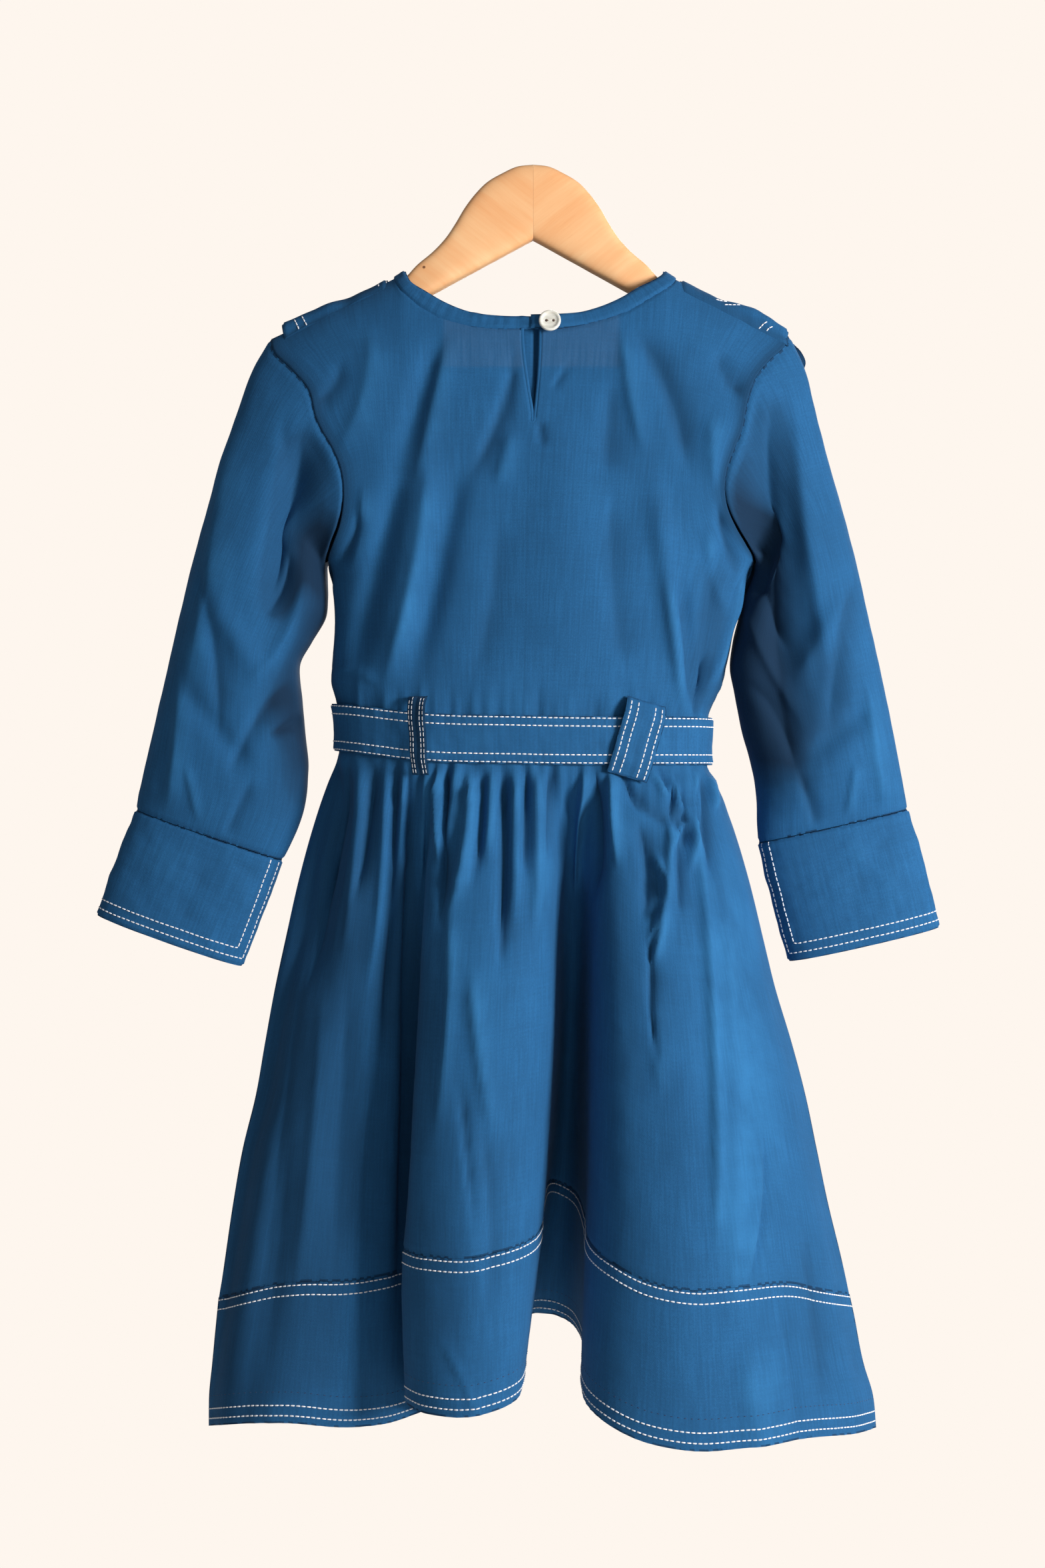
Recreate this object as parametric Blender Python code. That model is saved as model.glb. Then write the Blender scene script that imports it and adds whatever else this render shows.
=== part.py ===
"""A child's long-sleeved denim dress hanging on a wooden hanger.

The buttoned back of the dress faces -Y, +X is the right side of that view and +Z is up. The origin is the
middle of the hanger's top. The tables are in millimetres and the meshes in metres. Each cloth piece is a
grid of points on its middle surface, which cloth() turns into a closed wall: columns run round the body from
the left of the back to the right and home along the front, and rows run upwards, so walls face out.
"""

import math

import bpy
import numpy as np

MM = 0.001
WALL = 1.5  # a single cloth and its turnings
DOUBLE = 2.0  # two cloths sewn together, as in the belt, cuffs and flaps
THIN = 1.0  # facings inside the back
GAP = 0.3  # between pieces that meet
INSIDE_GAP = 1.0  # between the back and what lies inside it
SEAM = GAP / 2  # what each of two pieces gives up at their seam

DENIM = (0.055, 0.15, 0.32, 1)
DENIM_DARK = (0.04, 0.11, 0.25, 1)
WOOD = (0.78, 0.45, 0.22, 1)
IVORY = (0.85, 0.83, 0.74, 1)

# The tube of the body: its sides at each height, and how far its middle stands back and front.
# Above the arms the sides run on through the sleeves.
BODY = (  # height, left, right, back, front
    (-360, -112.5, 101.5, 42, 41),
    (-332, -111.7, 100, 42, 41),
    (-314, -112.3, 101.5, 41.5, 40.5),
    (-301, -116, 108.5, 41, 40),
    (-289, -115.5, 111.5, 40, 39),
    (-268, -114, 115.8, 38, 37),
    (-247, -115, 120.5, 37, 36),
    (-229, -118, 126.5, 36, 35),
    (-215, -134, 139, 35, 34),
    (-196, -152, 154, 34, 33),
    (-160, -168, 168, 31, 30),
    (-100, -178, 176, 27, 26),
    (-60, -182, 180, 25, 24),
)
ROUNDNESS = 2.3  # the power of the body's oval, 2 for an ellipse
SHOULDER_FALL = 60  # the height over which the cloth rounds over the hanger

# Both edges of a bodice panel from the waist to the shoulder, row by row.
EDGES = (  # row, left, left height, right, right height
    ("waist", -111.9, -323, 100, -332.5),
    ("belt top", -113, -308.5, 101.3, -317),
    ("low side", -116, -298, 108.8, -300),
    ("side", -115.3, -283, 111.5, -289),
    ("high side", -113.9, -263, 115.8, -268),
    ("below arm", -115.4, -244, 120.5, -247),
    ("underarm", -118, -229, 126.5, -229),
    ("arm foot", -114.5, -222, 121, -221.5),
    ("arm low", -110, -212, 115, -213),
    ("arm narrowest", -107.2, -196, 108.8, -199),
    ("arm middle", -109, -179, 108.6, -182),
    ("arm upper", -114, -167, 113.5, -168),
    ("arm high", -120, -157, 118.5, -155),
    ("slit foot", -122.8, -151, 120, -146),
    ("arm turn", -127.5, -134, 125.5, -128),
    ("arm slope", -138, -121, 134.5, -116),
    ("arm top", -149.2, -108.5, 144.3, -106),
    ("shoulder round", -150.6, -103.5, 146.6, -101.8),
    ("shoulder tip", -150.8, -100, 147.2, -98.6),
)
UNDERARM_ROW = 6
SLIT_ROW = 13

# The seam of the bodice and the neck band, and the neck's own edge, from the left shoulder to the right.
BACK_SEAM = (  # across, height
    (-80, -65.4), (-78.6, -69), (-75.5, -75), (-66, -84.5), (-54, -92.5), (-35, -98.3), (-20, -99.8),
    (-6.5, -100), (4, -100), (18, -99.5), (31, -96.6), (44, -92.8), (54, -88.6), (65, -81.5), (76, -74),
    (80.6, -69.5), (82, -66),
)
BACK_EDGE = (
    (-73.5, -61.2), (-72.5, -64.8), (-70, -70), (-61.5, -76.5), (-50, -84), (-33.5, -90.6), (-19, -92.4),
    (-6.5, -92.8), (4, -92.8), (17, -92), (29, -89.6), (41, -85.4), (50, -80.8), (60, -74), (69.5, -68.5),
    (73.8, -64.8), (75, -61.2),
)
FRONT_SEAM = (
    (-80, -65.4), (-79.2, -69), (-77, -76), (-70, -88), (-58, -103), (-40, -115.5), (-20, -122),
    (-5, -123.6), (6, -123.6), (21, -122), (41, -115.5), (53, -106), (63, -96), (72, -86), (79, -76),
    (81.4, -69.5), (82, -66),
)
FRONT_EDGE = (
    (-73.5, -61.2), (-72.8, -64.8), (-70.5, -72), (-64, -84), (-53, -97.5), (-37, -109), (-19, -115),
    (-5, -116.5), (6, -116.5), (20, -115), (38, -109), (48.5, -100.5), (57.5, -91.5), (66, -81),
    (72.3, -71.5), (74.4, -64.8), (75, -61.2),
)
# Where each column of a bodice panel stands along the waist, from side to side.
SHOULDER_SHARES = (0, 0.04, 0.13, 0.3, 0.48, 0.66, 0.84, 1)
NECK_SHARES = (
    0.18, 0.192, 0.21, 0.245, 0.3, 0.375, 0.44, 0.496, 0.506,
    0.555, 0.605, 0.655, 0.7, 0.745, 0.785, 0.808, 0.82,
)
EDGE_REACH = 0.18  # how far inwards, as a share of the width, a panel's side edges draw the cloth along
NECK_LEFT = 7  # the neck column at the slit's left side
SLIT_CLOSED = 0.12  # the slit's width at its foot over its width at the neck

# Large folds of the bodice back, as ridges (high over 0) and troughs.
BACK_FOLDS = (  # from across, from height, to across, to height, half width, high
    (-53, -104, -76, -181, 7, -3),
    (-40, -176, -67, -300, 8, -4),
    (-60, -172, -84, -300, 8, 3),
    (-73, -176, -103, -300, 7, -3.5),
    (68, -188, 86, -312, 7, 3.5),
    (82, -240, 92, -318, 5, -3),
    (14, -140, 20, -308, 20, 2.5),
)

# The waist seam under the belt, and the belt's width.
WAIST = ((-130, -322), (-100, -325.5), (-60, -330.5), (0, -332.5), (130, -332.5))  # across, height
BELT_WIDE = 27

BELT_GAP = 1.0
BELT_OVERLAP = 0.06  # the share of a turn over which the belt's ends lie on each other
BELT_COLUMNS = 72

# The skirt's back, from the left seam to the right: each row is a line down the cloth.
SKIRT_BACK = (  # line, waist, knee across, knee back, hem across, hem back, hem height, band
    ("left seam", -111.5, -170, -8, -186.5, -10, -724, 73),
    ("left side", -104, -155, -33, -171, -36, -714.5, 74),
    ("left panel", -94, -128, -43, -138, -48, -709.5, 76),
    ("left panel fall", -80, -102, -40, -108, -44, -713, 80),
    ("groove shoulder", -68, -81, -28, -84, -27, -717, 84),
    ("groove", -59, -67, -13, -67, -14, -716, 84),
    ("tube foot", -54, -63, -25, -62, -26, -709, 84),
    ("tube left", -50, -73, -49, -70, -52, -697, 84),
    ("tube left turn", -43, -60, -70, -58, -74, -695, 84),
    ("tube crest", -24, -35, -79, -35, -82, -694, 84),
    ("tube right turn", -4, -9, -70, -12.5, -73, -690, 84),
    ("tube right", 7, 5, -46, -6, -46, -688.5, 85),
    ("valley left wall", 13, 8, -2, -8, 14, -686, 86),
    ("valley left", 18, 11, 33, -5, 58, -682, 87),
    ("valley", 24, 18.5, 45, 11, 76, -685.5, 87),
    ("valley right", 30, 26.5, 34, 25.5, 60, -688.5, 86),
    ("valley right wall", 35, 30, -4, 30.5, 14, -691.5, 85),
    ("panel left", 40, 31.5, -46, 26.5, -46, -693, 84),
    ("panel left turn", 47, 41, -69, 35, -74, -697, 84),
    ("panel crest left", 58, 60, -81, 58, -88, -705, 84),
    ("panel crest", 70, 83, -84, 87, -91, -709, 84),
    ("panel crest right", 80, 107, -77, 117, -84, -709, 84),
    ("panel fall", 89, 131, -60, 148, -66, -711, 83),
    ("right side", 96, 153, -36, 178, -40, -718, 79),
    ("right seam", 100, 168, -9, 196.5, -10, -725, 76),
)
# The skirt's front, from the right seam home to the left, with folds like the back's.
SKIRT_FRONT = (
    ("right seam", 100, 168, -9, 196.5, -10, -725, 76),
    ("right side", 94, 151, 22, 180, 26, -720, 78),
    ("right fold", 84, 129, 46, 155, 58, -714, 82),
    ("right fold fall", 72, 106, 49, 130, 62, -712, 84),
    ("right trough", 62, 86, 30, 104, 36, -712, 84),
    ("right trough rise", 54, 71, 40, 84, 50, -707, 84),
    ("middle fold right", 42, 55, 70, 62, 92, -697, 84),
    ("middle fold", 22, 23, 88, 26, 116, -693, 84),
    ("middle fold left", -2, -9, 84, -12, 112, -694, 84),
    ("middle fall", -18, -33, 61, -40, 82, -702, 84),
    ("left trough", -32, -52, 35, -62, 44, -711, 84),
    ("left trough rise", -46, -71, 44, -84, 54, -711, 84),
    ("left fold", -64, -96, 59, -112, 72, -709, 82),
    ("left fold fall", -84, -124, 49, -142, 58, -713, 79),
    ("left side", -101, -156, 21, -171, 24, -720, 75),
    ("left seam", -111.5, -170, -8, -186.5, -10, -724, 73),
)
# Where the skirt's side seams run, height by height.
SKIRT_SIDES = (  # height, left, right
    (-726, -185.2, 196),
    (-705, -185.2, 193.8),
    (-690, -183.7, 189.2),
    (-659, -180.7, 183),
    (-628, -176.5, 176.3),
    (-597, -172, 168.8),
    (-566, -166.6, 162.4),
    (-535, -159.1, 156),
    (-505, -153.9, 148.2),
    (-474, -148.3, 139),
    (-443, -141.7, 131.4),
    (-412, -134.8, 123.7),
    (-381, -126.4, 114.3),
    (-366, -121.6, 108.9),
    (-354, -117.2, 103.2),
    (-347.5, -114.4, 100),
    (-339, -111.5, 100),
    (-322, -111.5, 100),
)
SIDE_REACH = 45  # how far inwards a side seam's place draws the cloth along
KNEE_HEIGHT = -580
# The rows of the skirt, as shares of the way down to the hem band, and of the band.
SKIRT_ROWS = (0, 0.055, 0.09, 0.14, 0.21, 0.31, 0.44, 0.58, 0.72, 0.86, 1)
BAND_ROWS = (0.5, 1)
BELT_SHARE, FLARE_SHARE = 0.042, 0.12  # where the cloth leaves the belt, and where it hangs free
BACK_STEPS, FRONT_STEPS = 3, 3  # columns between two lines of the tables
GATHERS_BACK, GATHERS_FRONT = 17, 15
GATHER_HIGH = 2.2

# Each sleeve's outer and inner edge below the armhole, ring by ring.
SLEEVE_LEFT = (  # outer across, outer height, inner across, inner height, half depth
    (-150.8, -100, -119.4, -229.5, 23),
    (-161, -118, -120.2, -234, 24),
    (-169.4, -141, -119.8, -241, 25),
    (-178.8, -170, -119.4, -250, 27),
    (-188.4, -203, -120.5, -261, 28),
    (-197.3, -236, -128.5, -275, 28),
    (-204.5, -266, -135.3, -288, 27),
    (-211.4, -296, -134, -308, 26),
    (-217.9, -324, -132, -330, 25),
    (-223.6, -348, -130.5, -350, 24),
    (-226, -358.5, -133.5, -374, 21),
    (-227.6, -365.5, -142, -394.5, 17),
    (-228.5, -371.8, -145.2, -400.5, 15),
)
SLEEVE_RIGHT = (
    (147.2, -98.6, 127.8, -229.5, 23),
    (155.8, -117, 128.4, -234, 24),
    (161.8, -141, 126.2, -241, 25),
    (168.7, -168, 122.2, -251, 27),
    (177.3, -198, 119.3, -263, 28),
    (185.7, -230, 116.4, -277, 28),
    (192.4, -260, 114.6, -290, 27),
    (199.2, -290, 117.5, -308, 26),
    (205.5, -320, 121.5, -328, 25),
    (210.5, -346, 126.5, -346, 24),
    (213.4, -361, 129.5, -364, 21),
    (214.5, -366, 130, -381, 17),
    (215.4, -371.5, 130.6, -390.5, 15),
)
CUFF_LEFT = (  # outer across, outer height, inner across, inner height, half depth
    (-228.5, -372.1, -145.4, -400.8, 15),
    (-240.6, -402.6, -157, -432, 14.5),
    (-251, -432.5, -168.7, -461.8, 14.5),
)
CUFF_RIGHT = (
    (215.5, -371.8, 130.6, -390.8, 15),
    (225.6, -406, 139, -425, 14.5),
    (233.6, -439.5, 148.2, -459, 14.5),
)
SLEEVE_ROUNDNESS = 2.2
ARMPIT_GAP = 2.0  # how far the sleeve starts off the body under the arm, where it folds down beside it
ARMHOLE_RINGS, ARMPIT_RINGS = 5, 1.2  # the rings over which the armhole's shape turns into the sleeve's
LEFT_BENDS = (  # from across, from height, to across, to height, half width, high
    (-140, -150, -150, -240, 7, -3),
    (-185, -250, -150, -300, 8, 3),
    (-200, -300, -160, -350, 7, -2.5),
)
RIGHT_BENDS = (
    (135, -150, 146, -240, 7, -3),
    (180, -250, 145, -300, 8, 3),
    (195, -310, 150, -345, 7, -2.5),
)

# The hanger's upper and lower edge outside and inside the dress, from its middle out.
HANGER = (  # left top across, left top height, left foot across, left foot height, half depth
    (0, 0, 0, -43, 6.5),
    (-9, -1, -6, -46.2, 6.5),
    (-18, -5, -13, -50, 6.5),
    (-26.5, -10, -20, -53.8, 6.5),
    (-33.5, -17, -27, -57.5, 6.5),
    (-39.5, -25, -34, -61.3, 6.5),
    (-44.5, -33.5, -41, -65, 6.5),
    (-50.5, -42.5, -49, -69.3, 6.5),
    (-58, -50.5, -57, -73.6, 6.3),
    (-66.5, -57.5, -66, -78, 5.8),
    (-76, -67.2, -76, -82.5, 5),
    (-90, -74.4, -90, -89, 4.8),
    (-110, -84.2, -110, -97.5, 4.6),
    (-130, -94, -130, -105.5, 4.2),
    (-141, -99.8, -141, -108.5, 3.6),
    (-145, -102.8, -145, -107, 2.4),
)
HANGER_SIDES = 12

# The flaps sewn in at the shoulder seams: how far each row lies down the back (under 0) or the front.
FLAP_ROWS = (-7, -3.5, -1, 0, 1, 3.5, 8, 14, 20, 26)
FLAP_GAP = 0.5
# Each flap's columns, as shares of the way from the shoulder tip to the neck, and how far they stand off.
FLAP_COLUMNS = {
    -1: ((0.1, 2.2), (0.24, 1.9), (0.38, 1.2), (0.52, 0.8), (0.66, 0.5), (0.8, 0.2), (0.95, 0)),
    1: ((0.02, 0), (0.17, 1.2), (0.3, 2.6), (0.45, 1.4), (0.62, 0.4), (0.8, 0), (0.96, 0)),
}
FLAP_CORNER = {-1: 1, 1: 13}  # how far the front's free corner stands out past the shoulder

# The belt loops: the strip's four corners as seen from the back.
LOOPS = {  # left, top: across, height; right; foot
    "loop_left": ((-69, -308.5), (-58.5, -308), (-66.5, -352), (-57, -352)),
    "loop_right": ((51.8, -308), (73.2, -313.7), (40, -350), (62, -356.5)),
}
BAND_THICK, BAND_GAP = 1.8, 0.6
OVERLAP_FROM = -1.5  # where the band's upper end stops, left of the button
# The pieces inside the back that show in the slit and through the cloth: their top and foot lines.
FACINGS = (
    ("facing_left", ((-50, -96), (-30, -101.5), (-9.5, -102)), ((-47, -108), (-34, -119), (-9.5, -122))),
    ("facing_right", ((6, -102), (28, -99.5), (51, -93)), ((6, -122), (38, -118), (49, -105))),
    ("slit_placket", ((-8.8, -102), (-4, -102), (0.5, -102)), ((-8.8, -158), (-4, -158), (0.5, -158))),
)
LOOP_THICK, LOOP_GAP = 1.6, 0.9
# How far a loop stands off, from 0 to 1, at each share of the way down it.
LOOP_PROFILE = ((0, 0), (0.05, 0.6), (0.11, 1), (0.5, 1.12), (0.87, 1), (0.93, 0.8), (1, 0.5))
LOOP_TURN = {"loop_left": 3, "loop_right": 0}  # how far the strip's right edge stands off more
BUTTON_AT = (9.2, -97.8)
BUTTON_RADIUS, BUTTON_THICK, BUTTON_HOLE, BUTTON_HOLES_APART = 6.2, 2.4, 1.0, 4.4


def smooth_at(where, stations, values):
    """values at where, on a smooth curve through the stations, which rise."""
    stations = np.asarray(stations, float)
    values = np.asarray(values, float)
    where = np.clip(np.asarray(where, float), stations[0], stations[-1])
    slopes = np.gradient(values, stations, axis=0)
    low = np.clip(np.searchsorted(stations, where, side="right") - 1, 0, len(stations) - 2)
    step = stations[low + 1] - stations[low]
    t = (where - stations[low]) / step
    if values.ndim > 1:
        t, step = t[..., None], step[..., None]
    start = (2 * t**3 - 3 * t**2 + 1) * values[low] + (t**3 - 2 * t**2 + t) * step * slopes[low]
    return start + (3 * t**2 - 2 * t**3) * values[low + 1] + (t**3 - t**2) * step * slopes[low + 1]


def ramp(value, start, end):
    """0 before start, 1 after end, and smooth between."""
    t = np.clip((np.asarray(value, float) - start) / (end - start), 0, 1)
    return t * t * (3 - 2 * t)


def unit(vectors):
    return vectors / np.maximum(np.linalg.norm(vectors, axis=-1, keepdims=True), 1e-9)


def body_sides(height):
    table = np.array(sorted(BODY))
    return smooth_at(height, table[:, 0], table[:, 1:])


def oval(share, power=ROUNDNESS):
    """How far an oval stands out at a share of its half width."""
    return (1 - np.clip(np.abs(share), 0, 1) ** power) ** (1 / power)


def ridge(across):
    """The height of the shoulder line."""
    left = -65.4 + 0.489 * (across + 80)
    right = -66 - 0.5 * (across - 82)
    return np.where(across < 0, np.minimum(left, -62), np.minimum(right, -62))


def body_back(across, height, side):
    """The y of the body's cloth: side -1 on the back and 1 on the front."""
    left, right, back, front = np.moveaxis(body_sides(height), -1, 0)
    share = (across - (left + right) / 2) / ((right - left) / 2)
    fallen = np.clip((ridge(across) - height) / SHOULDER_FALL, 0, 1)
    dome = np.sqrt(1 - (1 - fallen) ** 2)
    return side * np.where(side < 0, back, front) * oval(share) * dome


def body_out(across, height, side):
    """The body's outward normal, from the oval of its sides and the dome of its shoulders."""
    left, right, back, front = np.moveaxis(body_sides(height), -1, 0)
    half = (right - left) / 2
    share = (across - (left + right) / 2) / half
    stand = oval(share)
    high = 1 - np.clip((ridge(across) - height) / SHOULDER_FALL, 0, 1)
    dome = np.sqrt(1 - high**2)
    steep = ridge(across + 1) - ridge(across)
    rise = stand**ROUNDNESS * high / SHOULDER_FALL
    out_x = np.sign(share) * np.abs(share) ** (ROUNDNESS - 1) / half * dome**2 - rise * steep
    out_y = side * stand ** (ROUNDNESS - 1) * dome / np.where(side < 0, back, front)
    return unit(np.stack([out_x, out_y, rise], axis=-1))


def folds(across, height, table):
    """How far the table's folds lift the cloth at a place."""
    lifted = np.zeros(np.shape(across))
    for x0, z0, x1, z1, wide, high in table:
        run = math.hypot(x1 - x0, z1 - z0)
        along = ((across - x0) * (x1 - x0) + (height - z0) * (z1 - z0)) / run**2
        off = ((across - x0) * (z1 - z0) - (height - z0) * (x1 - x0)) / run
        ends = ramp(along, -0.1, 0.25) * (1 - ramp(along, 0.75, 1.1))
        lifted += high * ends * np.exp(-((off / wide) ** 2))
    return lifted


def normals_of(grid, ring=False):
    """The outward normal at each point of a grid whose columns run round and whose rows run up: the mean of
    the normals of the cells around it."""
    closed = np.concatenate([grid, grid[:, :1]], axis=1) if ring else grid
    cells = unit(np.cross(closed[1:, 1:] - closed[:-1, :-1], closed[1:, :-1] - closed[:-1, 1:]))
    cells = np.concatenate([cells[:1], cells, cells[-1:]])
    first, last = (cells[:, -1:], cells[:, :0]) if ring else (cells[:, :1], cells[:, -1:])
    cells = np.concatenate([first, cells, last], axis=1)
    return unit(cells[1:, 1:] + cells[:-1, 1:] + cells[1:, :-1] + cells[:-1, :-1])


def seam_normals(grid, ring=False):
    """The normals of a grid whose seams lie in the plane between back and front, along which they stay."""
    out = normals_of(grid, ring)
    return unit(np.where(np.abs(grid[..., 1:2]) < GAP, out * (1, 0, 1), out))


def trimmed(grid, foot=0.0, top=0.0, first=0.0, last=0.0):
    """The grid with its edges drawn in by so many millimetres."""
    grid = grid.copy()
    grid[0] += foot * unit(grid[1] - grid[0])
    grid[-1] += top * unit(grid[-2] - grid[-1])
    grid[:, 0] += first * unit(grid[:, 1] - grid[:, 0])
    grid[:, -1] += last * unit(grid[:, -2] - grid[:, -1])
    return grid


def finish(obj, color, roughness=0.85, metallic=0.0):
    material = bpy.data.materials.new(obj.name)
    material.use_nodes = True
    shader = material.node_tree.nodes["Principled BSDF"]
    shader.inputs["Base Color"].default_value = color
    shader.inputs["Roughness"].default_value = roughness
    shader.inputs["Metallic"].default_value = metallic
    obj.data.materials.append(material)
    obj.data.shade_smooth()
    obj.data.set_sharp_from_angle(angle=math.radians(45))
    return obj


def mesh_object(name, points, faces):
    """An object from points in millimetres, without those that no face uses."""
    used = sorted({corner for face in faces for corner in face})
    index = {corner: i for i, corner in enumerate(used)}
    mesh = bpy.data.meshes.new(name)
    mesh.from_pydata([tuple(points[i] * MM) for i in used], [], [[index[i] for i in face] for face in faces])
    obj = bpy.data.objects.new(name, mesh)
    bpy.context.scene.collection.objects.link(obj)
    return obj


def halves(cell, points):
    """A cell as two triangles, cut along its shorter diagonal, so that both sides of a wall fold alike."""
    a, b, c, d = cell
    if np.linalg.norm(points[a] - points[c]) <= np.linalg.norm(points[b] - points[d]):
        return [a, b, c], [a, c, d]
    return [a, b, d], [b, c, d]


def cloth(name, grid, thick=WALL, lift=0.0, ring=False, cut=(), color=DENIM, out=None):
    """A closed wall on a grid of points. lift moves it outwards, ring joins its last column to its first,
    cut lists the (row, column) cells that are open, and out gives the grid's normals where known."""
    rows, columns = grid.shape[:2]
    if out is None:
        out = seam_normals(grid, ring)
    outer = (grid + out * (lift + thick / 2)).reshape(-1, 3)
    inner = (grid + out * (lift - thick / 2)).reshape(-1, 3)
    cells = []
    for row in range(rows - 1):
        for column in range(columns if ring else columns - 1):
            if (row, column) in cut:
                continue
            after = (column + 1) % columns
            below, above = row * columns, (row + 1) * columns
            cells.append((below + column, below + after, above + after, above + column))
    edges = {(a, b) for cell in cells for a, b in zip(cell, cell[1:] + cell[:1])}
    inside = rows * columns
    points = grid.reshape(-1, 3)
    faces = [face for cell in cells for face in halves(cell, points)]
    faces += [[corner + inside for corner in reversed(face)] for face in faces]
    faces += [[b, a, a + inside, b + inside] for a, b in sorted(edges) if (b, a) not in edges]
    return finish(mesh_object(name, np.concatenate([outer, inner]), faces), color)


def waist_height(across):
    table = np.array(WAIST)
    return smooth_at(across, table[:, 0], table[:, 1])


def bodice_columns():
    """The shares of the waist at which the columns of a bodice panel stand."""
    left = [share * NECK_SHARES[0] for share in SHOULDER_SHARES[:-1]]
    right = [1 - share * (1 - NECK_SHARES[-1]) for share in reversed(SHOULDER_SHARES[:-1])]
    return np.array(left + list(NECK_SHARES) + right)


def bodice_top(seam):
    """The top edge of a bodice panel: up the left shoulder, along the neck seam and down the right one."""
    tip_left, tip_right = EDGES[-1][1:3], EDGES[-1][3:5]
    shares = np.array(SHOULDER_SHARES[:-1])[:, None]
    left = np.array(tip_left) * (1 - shares) + np.array(seam[0]) * shares
    right = np.array(tip_right) * (1 - shares) + np.array(seam[-1]) * shares
    return np.concatenate([left, np.array(seam), right[::-1]])


def bodice_grid(side, seam):
    """A bodice panel's points, between its four edges, for the back (side -1) or the front (1)."""
    shares = bodice_columns()
    edges = np.array([row[1:] for row in EDGES], float)
    left, right = edges[:, :2], edges[:, 2:]
    top = bodice_top(seam)
    foot_x = left[0, 0] + (right[0, 0] - left[0, 0]) * shares
    foot = np.stack([foot_x, waist_height(foot_x)], axis=1)
    up = ((left[:, 1] - left[0, 1]) / (left[-1, 1] - left[0, 1]))[:, None, None]
    over = shares[None, :, None]
    flat = (1 - up) * foot[None] + up * top[None]
    near_left, near_right = 1 - ramp(over, 0, EDGE_REACH), ramp(over, 1 - EDGE_REACH, 1)
    return flat + near_left * (left[:, None] - flat[:, :1]) + near_right * (right[:, None] - flat[:, -1:])


def on_body(flat, side, table=()):
    """Points across and up, set on the body's cloth with a table of folds."""
    across, height = flat[..., 0], flat[..., 1]
    y = body_back(across, height, side)
    edge = ramp(np.abs(y), 2, 14)
    near_waist = ramp(height - waist_height(across), 15, 32)
    y = y + side * folds(across, height, table) * edge * near_waist
    return np.stack([across, y, height], axis=-1)


def narrow_slit(flat):
    """The two columns beside the slit close on each other from the neck down to its foot."""
    left = len(SHOULDER_SHARES) - 1 + NECK_LEFT
    right = left + 1
    middle = (flat[:, left, 0] + flat[:, right, 0]) / 2
    middle = middle + (0 - middle) * ramp(flat[:, left, 1], -175, -150)
    near = ramp(flat[:, left, 1], -152, -100)
    width = 10.5 * (SLIT_CLOSED + (1 - SLIT_CLOSED) * near)
    shift = -1.2 * near
    flat[:, left, 0] = middle - width / 2 + shift
    flat[:, right, 0] = middle + width / 2 + shift
    return flat, left


def make_bodice():
    flat, slit = narrow_slit(bodice_grid(-1, BACK_SEAM))
    back = on_body(flat, -1, BACK_FOLDS)
    open_cells = {(row, slit) for row in range(SLIT_ROW, len(EDGES) - 1)}
    front = on_body(bodice_grid(1, FRONT_SEAM), 1)
    normals = [body_out(grid[..., 0], grid[..., 2], side) for grid, side in ((back, -1), (front, 1))]
    cloth("bodice_back", trimmed(back, SEAM, SEAM, SEAM, SEAM), cut=open_cells, out=normals[0])
    cloth("bodice_front", trimmed(front[:, ::-1], SEAM, SEAM, SEAM, SEAM), out=normals[1][:, ::-1])
    return [(armhole(column, back, front), armhole(column, *normals)) for column in (0, -1)]


def neck_line(back, front):
    """A line of the neck as (across, height, side) rows: from the slit's right side round the front to the
    slit's left side."""
    right = [(x, z, -1) for x, z in back[NECK_LEFT + 1 : -1]] + [(*back[-1], 0)]
    round_front = [(x, z, 1) for x, z in front[-2:0:-1]]
    return right + round_front + [(*back[0], 0)] + [(x, z, -1) for x, z in back[1 : NECK_LEFT + 1]]


def neck_grid():
    """The neck band between the bodice's seam and the neck's edge, its left end under its right end."""
    seam = neck_line(BACK_SEAM, FRONT_SEAM)
    edge = neck_line(BACK_EDGE, FRONT_EDGE)
    under = [(3, -100, -1), (12, -99.8, -1)], [(3, -92.8, -1), (12, -92.3, -1)]
    seam, edge = np.array(seam + under[0]), np.array(edge + under[1])
    seam[0, 0] = edge[0, 0] = OVERLAP_FROM
    rows = []
    for share in (0, 0.5, 1):
        across, height, side = (seam * (1 - share) + edge * share).T
        y = body_back(across, height, np.where(side < 0, -1, 1)) * np.abs(side)
        rows.append(np.stack([across, y, height], axis=1))
    return np.array(rows)


def make_neck():
    grid = neck_grid()
    over = 1 - ramp(grid[..., 0], 12, 30)
    first = np.arange(grid.shape[1]) < grid.shape[1] // 4
    lift = np.where(first, over * (DOUBLE + GAP), 0)[..., None]
    cloth("neck_band", trimmed(grid + normals_of(grid) * lift, foot=BAND_GAP), thick=BAND_THICK)


def inner_patch(name, corners, columns, rows):
    """A thin piece inside the bodice back, between a top and a foot line of (across, height) points."""
    top, foot = (np.array(line, float) for line in corners)
    share = np.linspace(0, 1, columns)
    top, foot = (smooth_at(share, np.linspace(0, 1, len(line)), line) for line in (top, foot))
    up = np.linspace(0, 1, rows)[:, None, None]
    grid = on_body(foot[None] * (1 - up) + top[None] * up, -1, BACK_FOLDS)
    cloth(name, grid, thick=THIN, lift=-(WALL + THIN) / 2 - INSIDE_GAP, color=DENIM_DARK)


def make_facings():
    for name, top, foot in FACINGS:
        inner_patch(name, (top, foot), 7, 4)


def armhole(column, back, front):
    """The armhole's points from the shoulder tip down the back to the underarm and home up the front."""
    down = back[UNDERARM_ROW:, column][::-1]
    return np.concatenate([down, front[UNDERARM_ROW + 1 : -1, column]])


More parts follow.
